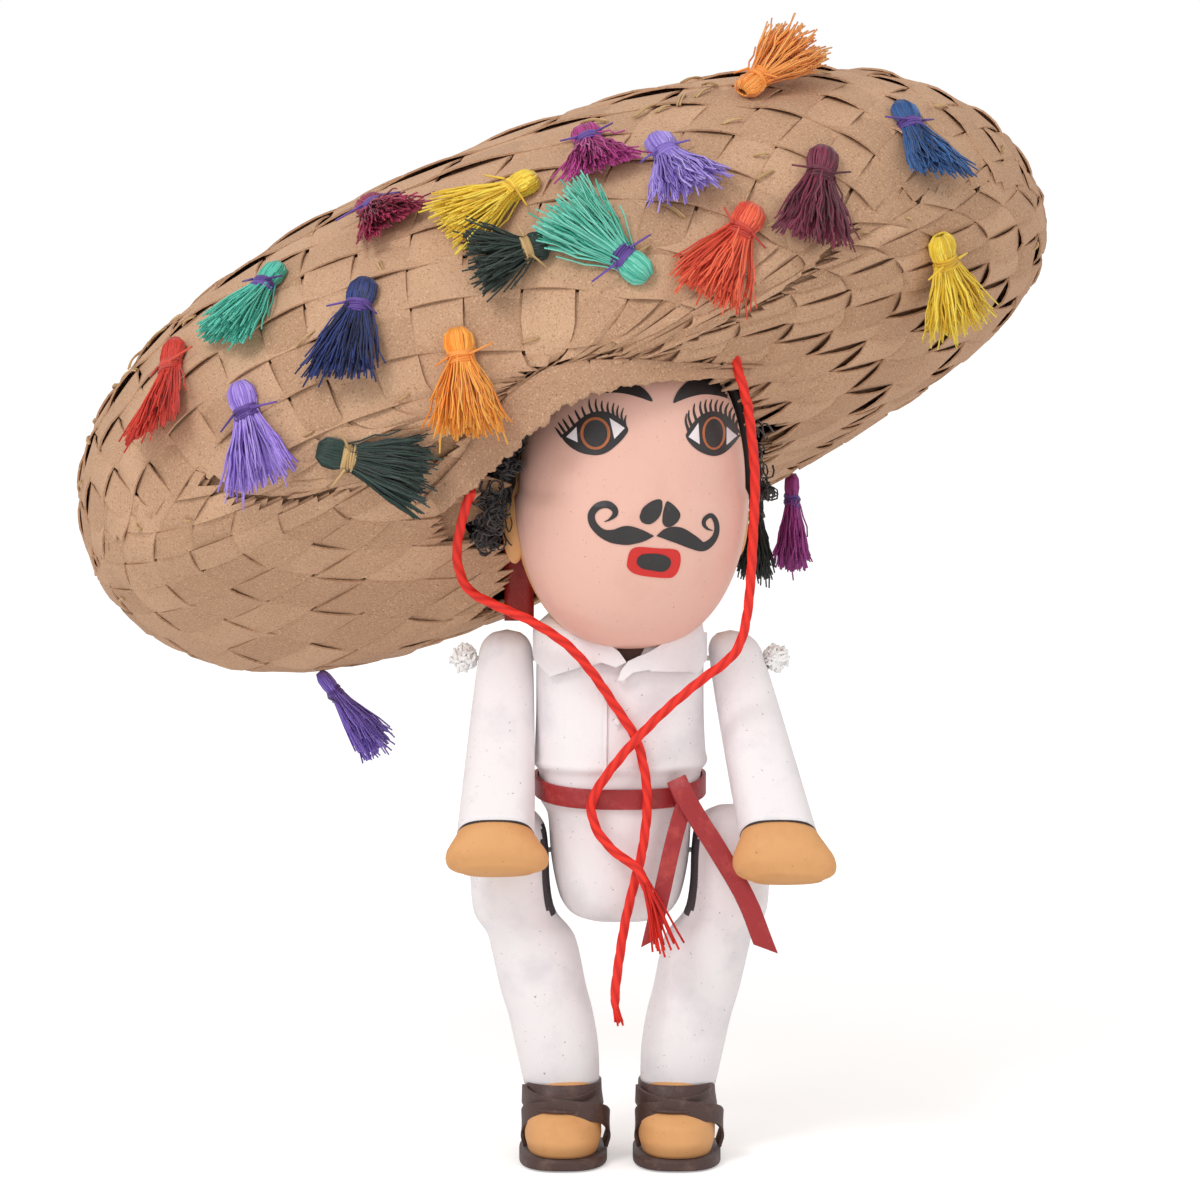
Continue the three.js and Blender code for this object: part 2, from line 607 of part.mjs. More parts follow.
function hatLocal(angle, rise, level) {
  const rim = new THREE.Vector3(
    HAT_HALF_WIDTH * signedPower(Math.cos(angle), 0.92), HAT_HALF_DEPTH * signedPower(Math.sin(angle), 0.92), 0);
  const scale = 1 + level / HAT_HALF_WIDTH;
  if (rise <= 1) {
    const turn = rise * Math.PI / 2;
    const out = Math.sin(turn) ** 0.85;
    return new THREE.Vector3(rim.x * out * scale, rim.y * out * (1 + level / HAT_HALF_DEPTH),
      (HAT_CROWN + level) * Math.cos(turn) ** 0.85);
  }
  const turn = (rise - 1) * Math.PI / 2;
  const back = (1 + Math.sin(angle)) / 2;
  const belly = THREE.MathUtils.lerp(12, HAT_BELLY, Math.min(1, back * 1.7) ** 0.8)
    * (1 - HAT_BELLY_LEAN * Math.cos(angle));
  const mouth = new THREE.Vector3(
    HAT_MOUTH_HALF_WIDTH * Math.cos(angle), -62 + (HAT_HALF_DEPTH - 66) * Math.sin(angle), 0);
  const inward = 1 - Math.cos(turn) ** 0.9;
  const spread = 1 - inward;
  const point = rim.clone().multiplyScalar(spread).addScaledVector(mouth, inward);
  point.x *= 1 + (level / HAT_HALF_WIDTH) * spread;
  point.y *= 1 + (level / HAT_HALF_DEPTH) * spread;
  point.z = -(belly + level) * Math.sin(turn) ** 0.9;
  return point;
}

function hatPoint(angle, rise, level = 0) {
  return hatLocal(angle, rise, level).applyMatrix4(hatTurn).add(HAT_CENTRE);
}

function hatNormal(angle, rise) {
  const at = hatPoint(angle, rise);
  const round = hatPoint(angle + 0.01, rise).sub(at);
  const down = hatPoint(angle, rise + 0.01).sub(at);
  return new THREE.Vector3().crossVectors(down, round).normalize();
}

// The torn lip over the forehead: where it leaves the hat (angle, rise), and from there to its hem (x, y, z)
const LIP = [
  [221.5, 1.92, 3, -1.5, -4.5],
  [228.5, 1.95, 5.6, -1.5, -6.4],
  [235, 1.98, 5.6, -1.5, -7.5],
  [245, 1.98, 7.5, -1.5, -10],
  [262.5, 1.98, 6.1, -1.5, -13],
  [279.5, 1.98, 1.6, -1.5, -12],
  [293, 1.98, -0.3, -1.5, -9.4],
  [308, 1.98, -0.1, -1.5, -5.3],
  [319, 1.95, 0.2, -1.5, -3.6],
  [328.5, 1.91, 0.2, -1.5, -2.8],
];

// A corner of the hat's facets. Every other one stands out, as the strips on top of the plait do.
function hatCorner(column, row, level, seam = 0) {
  const angle = (2 * Math.PI * column) / HAT_COLUMNS;
  const rise = row <= CROWN_ROWS ? row / CROWN_ROWS : 1 + (row - CROWN_ROWS) / UNDERSIDE_ROWS;
  const under = THREE.MathUtils.clamp((rise - 1) / 0.25, 0, 1) * Math.max(0, Math.cos(angle));
  const flat = Math.min(THREE.MathUtils.clamp(rise / 0.25, 0, 1), THREE.MathUtils.clamp((1.75 - rise) / 0.15, 0, 1));
  const relief = (column + row) % 2 ? flat * THREE.MathUtils.lerp(PLAIT_RELIEF, UNDERSIDE_RELIEF, under) : 0;
  return hatPoint(angle, THREE.MathUtils.clamp(rise + seam, 0, 2), level + relief);
}

function hatFilled(level) {
  const rings = [];
  for (let row = CROWN_ROWS + UNDERSIDE_ROWS; row >= 1; row -= 1) {
    const loop = [];
    for (let column = 0; column < HAT_COLUMNS; column += 1) loop.push(hatCorner(column, row, level));
    rings.push(loop);
  }
  return solid(loft(rings));
}

// The crown and the underside meet at the widest ring
function makeHat() {
  const half = (first, rows, seam) => {
    const face = (level) => (u, v) => {
      const row = first + Math.round(v * rows);
      return hatCorner(Math.round(u * HAT_COLUMNS), row, level, row === CROWN_ROWS ? seam : 0);
    };
    return solid(shellGeometry(face(-HAT_WALL), face(0), HAT_COLUMNS, rows, true));
  };
  const clearance = [headEgg(SEAT_GAP), hairSolid(SEAT_GAP), ...earSolids(SEAT_GAP)];
  const seam = SEAT_GAP / HAT_HALF_DEPTH;
  piece('hat_crown', cut(half(0, CROWN_ROWS, -seam), ...clearance), COLOURS.cardboard, 0.95);
  piece('hat_underside', cut(half(CROWN_ROWS, UNDERSIDE_ROWS, seam), ...clearance), COLOURS.cardboard, 0.95);
  const seat = new THREE.CatmullRomCurve3(LIP.map(([angle, rise]) => new THREE.Vector3(angle, rise, 0)));
  const hem = new THREE.CatmullRomCurve3(LIP.map(([, , x, y, z]) => new THREE.Vector3(x, y, z)));
  const lip = (level) => (u, v) => {
    const place = seat.getPoint(u);
    const top = hatPoint(degrees(place.x), place.y, SEAT_GAP);
    const low = hem.getPoint(u).add(top);
    top.y -= level;
    low.y -= level;
    return top.lerp(low, v);
  };
  const strip = shellGeometry(lip(0), lip(HAT_WALL), 18, 2, false);
  piece('hat_front_edge', cut(solid(strip), ...clearance), COLOURS.cardboardEdge, 0.95);
}

// Tassels: [name, head [angle, rise], towards [angle, rise], colour, share of the full length, lift]
// The lift is the angle in degrees off the chord between the two places on the hat.
const TASSELS = [
  ['tassel_red', [224, 0.65], [226, 0.94], 0xc8321e, 1.05, 8],
  ['tassel_lavender', [238, 0.86], [233, 1.39], 0x8a66c0, 1, 8],
  ['tassel_green', [244, 1.22], [230, 1.9], 0x1f3a32, 1, 8],
  ['tassel_orange', [264, 0.95], [248, 1.9], 0xf07f1c, 1, 19],
  ['tassel_navy', [256, 0.75], [251, 0.97], 0x1b2350, 0.95, 8],
  ['tassel_teal', [242, 0.57], [237, 0.78], 0x1fa08a, 0.9, 8],
  ['tassel_crimson', [254, 0.45], [262, 0.71], 0x8e1238, 0.85, 8],
  ['tassel_yellow', [276, 0.65], [266, 0.74], 0xe8b818, 0.9, 8],
  ['tassel_green_top', [274, 0.85], [267, 0.85], 0x1d2e26, 0.65, 18],
  ['tassel_turquoise', [282, 0.99], [277, 0.79], 0x2cb89a, 1, 8],
  ['tassel_magenta', [285, 0.53], [282, 0.82], 0x9c1468, 0.8, 8],
  ['tassel_lavender_top', [291, 0.66], [290, 0.95], 0x8f72cc, 0.85, 8],
  ['tassel_vermilion', [296, 0.93], [293, 1.63], 0xd63b1e, 0.95, 8],
  ['tassel_maroon', [308, 0.85], [302, 1.35], 0x5c1428, 1, 8],
  ['tassel_blue', [325, 0.78], [320, 1.11], 0x1f3c78, 0.95, 8],
  ['tassel_yellow_left', [322, 1.24], [342, 1.59], 0xe9bd1c, 1, 22],
  ['tassel_orange_top', [307, 0.6], [322, 0.57], 0xf08a22, 0.8, 22],
  ['tassel_violet_back', [164, 1.64], [180, 1.6], 0x6a45b0, 0.85],
  ['tassel_magenta_back', [59, 1.69], [66, 1.4], 0x8e1f6e, 0.85],
  ['tassel_black_back', [66, 1.72], [74, 1.5], 0x16201a, 0.75],
];
// Under the brim, three hang free. The number is the lean towards the doll's left, in degrees.
const HANGING_TASSELS = { tassel_violet_back: 38, tassel_magenta_back: 0, tassel_black_back: 0 };
const HANGING_SLIMNESS = 0.75;

function tasselSolid(length, slimness, extra = 0) {
  const full = slimness * TASSEL_LENGTH / 40;
  const profile = [
    [0, 2.6], [0.07, 5], [0.16, 5.6], [0.25, 4], [0.33, 4], [0.5, 7], [0.8, 11.2], [1, 13],
  ];
  const count = TASSEL_FLUTES * 2;
  const rings = profile.map(([share, radius]) => {
    const loop = [];
    for (let i = 0; i < count; i += 1) {
      const flute = share > 0.4 ? 1 + 0.16 * (share - 0.4) * (i % 2 ? 1 : -1) * 2 : 1;
      const angle = (i / count) * 2 * Math.PI;
      const ragged = share === 1 && i % 2 ? 0.04 * length : 0;
      const width = radius * flute * full;
      loop.push(new THREE.Vector3(
        (width + extra) * Math.cos(angle), (width * TASSEL_FLATNESS + extra) * Math.sin(angle),
        share * (length + 2 * extra) - extra - ragged));
    }
    return loop;
  });
  return loft(rings);
}

function makeTassels() {
  const taken = [hatFilled(SEAT_GAP)];
  for (const [name, [angle, rise], [towardsAngle, towardsRise], colour, share, lift] of TASSELS) {
    const at = hatPoint(degrees(angle), rise);
    const normal = hatNormal(degrees(angle), rise);
    const along = hatPoint(degrees(towardsAngle), towardsRise).sub(at).normalize();
    const hanging = name in HANGING_TASSELS;
    const axis = hanging
      ? new THREE.Vector3(Math.tan(degrees(HANGING_TASSELS[name])), -0.1, -1).normalize()
      : along.multiplyScalar(Math.cos(degrees(lift))).addScaledVector(normal, Math.sin(degrees(lift)));
    const side = new THREE.Vector3().crossVectors(normal, axis).normalize();
    const up = new THREE.Vector3().crossVectors(axis, side).normalize();
    const start = at.clone().addScaledVector(normal, hanging || name === 'tassel_orange_top' ? -1 : SEAT_GAP + 2);
    const turn = new THREE.Matrix4().makeBasis(side, up, axis).setPosition(start);
    const shape = (extra) => solid(
      tasselSolid(share * TASSEL_LENGTH, hanging ? HANGING_SLIMNESS : 1, extra).applyMatrix4(turn));
    piece(name, cut(shape(0), ...taken), colour, 0.9);
    taken.push(shape(SEAT_GAP));
  }
}

// Chin cord: its two strands leave the hat beside the face, cross twice on the shirt and end frayed
const CORD_ROUTES = {
  chin_cord_right: [
    [-50.8, -43, 239.5],
    [-54, -37.5, 229.8],
    [-56.3, -29, 215.2],
    [-52.6, -26, 203.7],
    [-42.2, -33, 198.4],
    [-31.2, -35, 193.7],
    [-19.1, -34, 185.7],
    [-10.5, -30.5, 176],
    [-1.8, -26.2, 162.7],
    [5.5, -26.2, 151],
    [8.9, -26.4, 137.2],
    [9.3, -26.2, 125.6],
    [7.6, -26.4, 111.6],
    [5.5, -26.8, 103],
    [2, -27.5, 88.2],
    [-0.4, -28, 73.5],
    [-1.8, -28.5, 60.5],
    [-0.7, -29, 51.7],
  ],
  chin_cord_left: [
    [43.2, -37, 270],
    [44.6, -35, 261],
    [46.3, -31, 242],
    [45.6, -31, 221],
    [44.3, -32, 200.4],
    [41.9, -33, 187.4],
    [37.5, -32.5, 180],
    [27.5, -30.5, 172],
    [16.1, -30.3, 162.3],
    [5.4, -30.3, 151.5],
    [-2.8, -28.5, 141.4],
    [-8, -26.6, 133.4],
    [-10.1, -26.2, 127],
    [-7.7, -26.8, 118.7],
    [-1.5, -29.5, 111.8],
    [6.5, -31, 105.7],
    [10.3, -34, 94.3],
    [12.7, -36.5, 79.6],
  ],
};

function makeCords() {
  for (const [name, route] of Object.entries(CORD_ROUTES)) {
    const curve = new THREE.CatmullRomCurve3(route.map(([x, y, z]) => new THREE.Vector3(x, y, follow(z))));
    const section = new THREE.Shape(ring(new THREE.Vector3(), CORD_DIAMETER / 2, CORD_DIAMETER / 2, 2, 8)
      .map((p) => new THREE.Vector2(p.x, p.y)));
    const tube = new THREE.ExtrudeGeometry(section, { steps: CORD_STEPS, extrudePath: curve, bevelEnabled: false });
    piece(name, solid(tube), COLOURS.cord, 0.8);
  }
}

function makeNapeStrap() {
  const route = [
    new THREE.Vector3(-33.5, 12, HAIR_BOTTOM - SEAT_GAP),
    new THREE.Vector3(-34, 13.5, follow(210)),
    new THREE.Vector3(-34.5, 15, follow(190)),
  ];
  const strap = solid(strip(route, 2 * TAIL_WIDTH, LEATHER_THICKNESS));
  piece('nape_strap', cut(strap, hatFilled(2 * SEAT_GAP)), COLOURS.ribbon, 0.6);
}

makeHead();
makeTorso();
makeBelt();
makeCollar();
makeNapeStrap();
for (const [name, side, splay] of [['right', -1, 0], ['left', 1, 11]]) {
  makeArm(name, side, splay);
  makeLeg(name, side);
  makeFoot(name, side);
}
makeString('shoulder_string', SHOULDER_HEIGHT, CHEST_HALF_WIDTH + 1.4 + UPPER_ARM_WIDTH);
makeString('hip_string', HIP_HEIGHT, PELVIS_HALF_WIDTH + 1 + 0.86 * LEG_WIDTH);
makeHat();
makeTassels();
makeCords();

export default group;
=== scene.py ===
"""A jointed papier-mache doll in white painted clothes, under a wide plaited cardboard hat with fibre tassels."""

import random
from math import asin, atan2, copysign, cos, degrees, exp, hypot, pi, radians, sin, sqrt, tan

import bpy
from mathutils import Matrix, Vector, geometry
from mathutils.bvhtree import BVHTree


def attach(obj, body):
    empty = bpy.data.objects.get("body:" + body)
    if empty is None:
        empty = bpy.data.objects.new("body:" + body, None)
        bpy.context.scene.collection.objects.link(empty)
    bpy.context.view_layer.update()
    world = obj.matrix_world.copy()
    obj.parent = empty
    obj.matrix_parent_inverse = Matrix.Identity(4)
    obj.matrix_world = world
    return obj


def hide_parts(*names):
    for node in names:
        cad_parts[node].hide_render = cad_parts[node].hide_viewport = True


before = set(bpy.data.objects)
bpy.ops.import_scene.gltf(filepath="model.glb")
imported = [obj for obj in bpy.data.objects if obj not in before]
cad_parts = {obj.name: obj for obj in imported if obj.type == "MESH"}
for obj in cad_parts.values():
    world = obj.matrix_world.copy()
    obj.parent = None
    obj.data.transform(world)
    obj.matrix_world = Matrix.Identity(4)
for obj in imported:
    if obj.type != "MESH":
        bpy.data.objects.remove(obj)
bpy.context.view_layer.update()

dice = random.Random(7)
rand = dice.uniform
BODY = "doll_body"
SIDES = (("right", -1), ("left", 1))
TORSO_AXIS = Vector((20, -57, 0))  # where the torso's axis stands in the frame, in millimetres


def at(point):
    """A point in millimetres about the torso's axis, as metres in the frame."""
    return (Vector(point) + TORSO_AXIS) / 1000


def mix(a, b, share):
    return a + (b - a) * share


def power(value, exponent):
    return copysign(abs(value) ** exponent, value)


def curve(a, b, c, d, t):
    """The place at share t from b to c, on a smooth curve that comes from a and goes on to d."""
    return 0.5 * (2 * b + (c - a) * t + (2 * a - 5 * b + 4 * c - d) * t**2 + (3 * b - a - 3 * c + d) * t**3)


def smooth_path(points, steps, closed=False):
    """Points on one smooth curve through the given ones."""
    points = [Vector(p) for p in points]
    count = len(points)
    path = []
    for i in range(count if closed else count - 1):
        if closed:
            a, b, c, d = (points[(i + k) % count] for k in (-1, 0, 1, 2))
        else:
            b, c = points[i], points[i + 1]
            a = points[i - 1] if i else b * 2 - c
            d = points[i + 2] if i + 2 < count else c * 2 - b
        path += [curve(a, b, c, d, j / steps) for j in range(steps)]
    if not closed:
        path.append(points[-1].copy())
    return path


def path_length(points):
    return sum((b - a).length for a, b in zip(points, points[1:]))


# Camera, as far off and as high as the photograph's
AIM = at((-7, 0, 196.5))
DISTANCE = 2.0
ELEVATION = radians(7)
LENS = 171.4
SENSOR = 36
PICTURE = 1200  # pixels each way
eye = AIM + DISTANCE * Vector((0, -cos(ELEVATION), sin(ELEVATION)))
ahead = (AIM - eye).normalized()
upward = Vector((1, 0, 0)).cross(ahead)
camera = bpy.data.objects.new("camera", bpy.data.cameras.new("camera"))
bpy.context.scene.collection.objects.link(camera)
camera.data.lens = LENS
camera.data.sensor_width = SENSOR
camera.data.clip_start = 0.05
camera.location = eye
camera.rotation_euler = ahead.to_track_quat("-Z", "Y").to_euler()
bpy.context.scene.camera = camera


def sight(column, row):
    """The direction in which the camera sees a place of the picture."""
    scale = SENSOR / LENS / PICTURE
    return (ahead + Vector((1, 0, 0)) * (column - PICTURE / 2) * scale
            + upward * (PICTURE / 2 - row) * scale).normalized()


# Materials


def colour(text):
    """An sRGB hex colour as linear values."""
    values = [int(text[i:i + 2], 16) / 255 for i in (0, 2, 4)]
    return tuple(v / 12.92 if v <= 0.04045 else ((v + 0.055) / 1.055) ** 2.4 for v in values) + (1,)


def node(tree, kind, links=(), **settings):
    """Adds a shader node, sets what it has by name, and links or fills its inputs."""
    made = tree.nodes.new("ShaderNode" + kind)
    for name, value in settings.items():
        setattr(made, name, value)
    for key, value in dict(links).items():
        if isinstance(value, bpy.types.NodeSocket):
            tree.links.new(value, made.inputs[key])
        else:
            made.inputs[key].default_value = value
    return made


def start_material(name, roughness, sheen=0.0):
    """A new material, its tree, its shader and the place on the object."""
    material = bpy.data.materials.new(name)
    material.use_nodes = True
    tree = material.node_tree
    shader = tree.nodes["Principled BSDF"]
    shader.inputs["Roughness"].default_value = roughness
    shader.inputs["Sheen Weight"].default_value = sheen
    return material, tree, shader, node(tree, "TexCoord").outputs["Object"]


def blend_colours(tree, share, first, second):
    """One colour over another by a share, which is a socket."""
    made = node(tree, "Mix", {0: share}, data_type="RGBA")
    for key, value in ((6, first), (7, second)):
        if isinstance(value, bpy.types.NodeSocket):
            tree.links.new(value, made.inputs[key])
        else:
            made.inputs[key].default_value = colour(value)
    return made.outputs[2]


def between(tree, value, low, high):
    """A socket's values from low to high, stretched from 0 to 1."""
    return node(tree, "MapRange", {0: value, 1: low, 2: high}, clamp=True).outputs[0]


def bump(tree, shader, height, distance, strength):
    made = node(tree, "Bump", {"Height": height, "Distance": distance, "Strength": strength})
    tree.links.new(made.outputs[0], shader.inputs["Normal"])


def noise(tree, where, scale, detail, rough=0.5):
    inputs = {"Vector": where, "Scale": scale, "Detail": detail, "Roughness": rough}
    return node(tree, "TexNoise", inputs).outputs[0]


def painted_paper(name, base, stain, speck, roughness, stain_share=0.5):
    """Matt water paint over papier-mache: faint stains, pinhead specks and the brush's low ridges."""
    material, tree, shader, where = start_material(name, roughness)
    stains = between(tree, noise(tree, where, 55, 5, 0.6), 0.5, 0.72)
    specks = between(tree, noise(tree, where, 900, 2), 0.7, 0.78)  # pinheads about 0.6 mm across
    faint = node(tree, "Math", {0: stains, 1: stain_share}, operation="MULTIPLY").outputs[0]
    tree.links.new(blend_colours(tree, specks, blend_colours(tree, faint, base, stain), speck),
                   shader.inputs["Base Color"])
    along_brush = node(tree, "Mapping", {"Vector": where, "Scale": (1, 1, 0.25)}).outputs[0]
    bump(tree, shader, noise(tree, along_brush, 420, 4, 0.6), 0.00035, 0.5)
    return material


WHITE = painted_paper("white_paint_on_paper", "F1EBEC", "C9C2CC", "A39AA0", 0.78, 0.35)
PINK = painted_paper("pink_face_paint", "EAB9A8", "E2A998", "B98878", 0.5, 0.4)
TAN = painted_paper("tan_paint_on_clay", "DDA268", "CB8C55", "A86E42", 0.62, 0.55)
# The tan neck darkened to dark brown under the chin: painted shade
NECK_PAINTED_SHADE = painted_paper("painted_shade_of_neck", "45281E", "2E1A14", "6A4334", 0.7)
# Dark grey for the faces where parts meet, at the cuffs, hips and trouser ends: painted shade of the gaps
GAP_PAINTED_SHADE = painted_paper("dark_grey_gap_shade", "4C4448", "332C30", "8A8084", 0.9)
BLACK = painted_paper("black_brush_paint", "2B2728", "3A3536", "4A4446", 0.42)
RED_MOUTH = painted_paper("red_brush_paint", "D5261F", "C01E1A", "E05048", 0.4)
IRIS = painted_paper("rust_brush_paint", "B8683C", "A05630", "C98A60", 0.45)
EYE_WHITE = painted_paper("eye_white_paint", "F0E6E8", "DDD0D4", "C8BEC0", 0.5)


def kraft_board(name, light, dark):
    """Dull, rough kraft board: pressed pulp with pale and dark grains, and each strip of its own shade."""
    material, tree, shader, where = start_material(name, 0.92)
    shade = node(tree, "Attribute", attribute_name="shade").outputs["Fac"]
    clouds = noise(tree, where, 38, 4, 0.55)
    share = node(tree, "Math", {0: shade, 1: clouds, 2: 0.12}, operation="MULTIPLY_ADD").outputs[0]
    base = blend_colours(tree, share, dark, light)
    grains = noise(tree, where, 1500, 2, 0.7)  # pulp grains about 0.5 mm, as coarse as they need to show
    pale = blend_colours(tree, between(tree, grains, 0.56, 0.75), base, "DDBE98")
    deep = blend_colours(tree, between(tree, grains, 0.42, 0.27), pale, "7E5A3E")
    tree.links.new(deep, shader.inputs["Base Color"])
    bump(tree, shader, grains, 0.00025, 0.6)
    return material


BOARD = kraft_board("plaited_kraft_board", "D5AC8B", "B0886A")
# A darker copy of the board for the hat's inside: painted shade
LINING = kraft_board("shaded_kraft_board", "B48E6E", "906B4E")
TORN = kraft_board("torn_board_edge", "D5AC8C", "B0886B")


def leather(name, base, worn, roughness):
    """Thin split leather: a fine grain of 0.5 mm cells, paler where it creases."""
    material, tree, shader, where = start_material(name, roughness)
    cells = node(tree, "TexVoronoi", {"Vector": where, "Scale": 1400}).outputs["Distance"]
    creases = between(tree, noise(tree, where, 160, 5, 0.65), 0.52, 0.75)
    tree.links.new(blend_colours(tree, creases, base, worn), shader.inputs["Base Color"])
    bump(tree, shader, cells, 0.0002, 0.5)
    return material


RED_LEATHER = leather("red_belt_leather", "9E2226", "B8423C", 0.42)
DARK_RED_LEATHER = leather("dark_red_ribbon_leather", "B0261E", "C0402E", 0.45)
BROWN_LEATHER = leather("brown_sandal_leather", "4A332E", "6B5048", 0.5)


def fibre(name, base, light, roughness=0.5, sheen=0.15):
    """Dyed plant fibre or thread: each strand has its own shade and a silky side light."""
    material, tree, shader, where = start_material(name, roughness, sheen=sheen)
    shade = node(tree, "Attribute", attribute_name="shade").outputs["Fac"]
    tree.links.new(blend_colours(tree, shade, base, light), shader.inputs["Base Color"])
    bump(tree, shader, noise(tree, where, 2500, 2), 0.0001, 0.3)
    return material


HAIR = fibre("black_curly_fibre", "191617", "4A4344")
# On the twisted cord the dark colour lies in the grooves between the plies, as painted shade; loose yarns take
# random tones
CORD = fibre("red_twisted_cord", "C0120A", "F42C18", 0.65, 0.0)
COTTON = fibre("white_cotton_string", "F2EEEB", "FFFEFD", 0.9, 0.2)
RAFFIA = fibre("tan_raffia_stitch", "A98555", "D1AE7C", 0.6)

# Making pieces


def settle(piece, name, material, body=BODY, slot=None, hides=(), smooth=True):
    """Names a finished mesh, gives it its finish, and fixes it to what carries it."""
    piece.name = piece.data.name = name
    piece.data.materials.append(material)
    for face in piece.data.polygons:
        face.use_smooth = smooth
    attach(piece, body)
    if hides:
        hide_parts(*hides)
    return piece


def select(piece):
    bpy.ops.object.select_all(action="DESELECT")
    piece.select_set(True)
    bpy.context.view_layer.objects.active = piece


def modify(piece, kind, **settings):
    select(piece)
    made = piece.modifiers.new(kind.lower(), kind)
    for name, value in settings.items():
        setattr(made, name, value)
    bpy.ops.object.modifier_apply(modifier=made.name)


def merge_points(piece, distance):
    """Joins the points within a distance in metres of each other, and drops those that no face uses."""
    select(piece)
    bpy.ops.object.mode_set(mode="EDIT")
    bpy.ops.mesh.select_all(action="SELECT")
    bpy.ops.mesh.remove_doubles(threshold=distance)
    bpy.ops.mesh.delete_loose()
    bpy.ops.object.mode_set(mode="OBJECT")


def ball(segments, rings, shape):
    """A round primitive drawn out: shape gives the point for a turn about the piece and a share of its length."""
    bpy.ops.mesh.primitive_uv_sphere_add(segments=segments, ring_count=rings, radius=1)
    piece = bpy.context.object
    for vertex in piece.data.vertices:
        x, y, z = vertex.co
        share = asin(max(-1, min(1, z))) / pi + 0.5
        vertex.co = at(shape(atan2(y, x), share))
    return piece


def sheet(columns, rows, shape, thickness, closed=False, offset=-1.0, edge=0):
    """A flat primitive laid over a surface, with its thickness and its edge's rounding in millimetres."""
    bpy.ops.mesh.primitive_grid_add(x_subdivisions=columns, y_subdivisions=rows, size=2)
    piece = bpy.context.object
    for vertex in piece.data.vertices:
        vertex.co = at(shape((vertex.co.x + 1) / 2, (vertex.co.y + 1) / 2))
    if closed:
        merge_points(piece, 1e-6)
    if thickness:
        modify(piece, "SOLIDIFY", thickness=thickness / 1000, offset=offset, use_even_offset=False)
    if edge:
        modify(piece, "BEVEL", width=edge / 1000, segments=2, limit_method="ANGLE")
    return piece


def column_value(rows, share):
    """Each column of a table of rows, smoothly between them."""
    place = share * (len(rows) - 1)
    index = min(int(place), len(rows) - 2)
    near = [rows[min(max(index + k, 0), len(rows) - 1)] for k in (-1, 0, 1, 2)]
    return [curve(*values, place - index) for values in zip(*near)]


def ring_point(turn, half_width, half_depth, squareness):
    return (half_width * power(cos(turn), 2 / squareness), half_depth * power(sin(turn), 2 / squareness))


def end_share(share, rings):
    """The share along a closed body without its two poles, and how far open it is there."""
    low, high = 1 / rings, 1 - 1 / rings
    if share < low - 1e-6 or share > high + 1e-6:
        return (0.0 if share < 0.5 else 1.0), 0.0
    return (share - low) / (high - low), 1.0


def mesh_piece(name, vertices, faces, shades=None):
    mesh = bpy.data.meshes.new(name)
    mesh.from_pydata(vertices, [], faces)
    if shades is not None:
        layer = mesh.attributes.new("shade", "FLOAT", "POINT")
        layer.data.foreach_set("value", shades)
    piece = bpy.data.objects.new(name, mesh)
    bpy.context.scene.collection.objects.link(piece)
    return piece


def square_to(points, across):
    """Each point of a path with two directions square to the path, which turn as little as they can."""
    for i, point in enumerate(points):
        way = (points[min(i + 1, len(points) - 1)] - points[max(i - 1, 0)]).normalized()
        across = (across - way * across.dot(way)).normalized()
        yield point, across, way.cross(across)


def tube_faces(start, rings, sides):
    """The faces of a closed tube, whose rings of points follow each other from start."""
    faces = []
    last = start + (rings - 1) * sides
    for first in range(start, last, sides):
        for k in range(sides):
            a, b = first + k, first + (k + 1) % sides
            faces.append((a, b, b + sides, a + sides))
    return faces + [tuple(reversed(range(start, start + sides))), tuple(range(last, last + sides))]


def strands(name, lines, sides=3):
    """Many thin fibres in one mesh. Each line is its points, its radius at both ends and its shade."""
    vertices, faces, shades = [], [], []
    for points, (thick, thin), shade in lines:
        faces += tube_faces(len(vertices), len(points), sides)
        shades += [shade] * (len(points) * sides)
        first_across = (points[1] - points[0]).normalized().orthogonal().normalized()
        for i, (point, across, other) in enumerate(square_to(points, first_across)):
            radius = mix(thick, thin, i / (len(points) - 1))
            for k in range(sides):
                angle = 2 * pi * k / sides
                vertices.append(at(point + across * radius * cos(angle) + other * radius * sin(angle)))
    return mesh_piece(name, vertices, faces, shades)


# Chin cords: three twisted plies each, unlaid at the lower end. The routes are those of the solids.
CORD_DIAMETER = 3.5
CORD_LAY = 24  # millimetres of one whole turn of the plies
CORD_YARNS = 16
CORD_ROUTES = {
    "right": [
        (-50.8, -43, 239.5), (-54, -37.5, 229.8), (-56.3, -29, 215.2), (-52.6, -26, 203.7), (-42.2, -33, 198.4),
        (-31.2, -35, 193.7), (-19.1, -34, 185.7), (-10.5, -30.5, 176), (-1.8, -26.2, 162.7), (5.5, -26.2, 151),
        (8.9, -26.4, 137.2), (9.3, -26.2, 125.6), (7.6, -26.4, 111.6), (5.5, -26.8, 103), (2, -27.5, 88.2),
        (-0.4, -28, 73.5), (-1.8, -28.5, 60.5), (-0.7, -29, 51.7),
    ],
    "left": [
        (43.2, -37, 270), (44.6, -35, 261), (46.3, -31, 242), (45.6, -31, 221), (44.3, -32, 200.4),
        (41.9, -33, 187.4), (37.5, -32.5, 180), (27.5, -30.5, 172), (16.1, -30.3, 162.3), (5.4, -30.3, 151.5),
        (-2.8, -28.5, 141.4), (-8, -26.6, 133.4), (-10.1, -26.2, 127), (-7.7, -26.8, 118.7), (-1.5, -29.5, 111.8),
        (6.5, -31, 105.7), (10.3, -34, 94.3), (12.7, -36.5, 79.6),
    ],
}


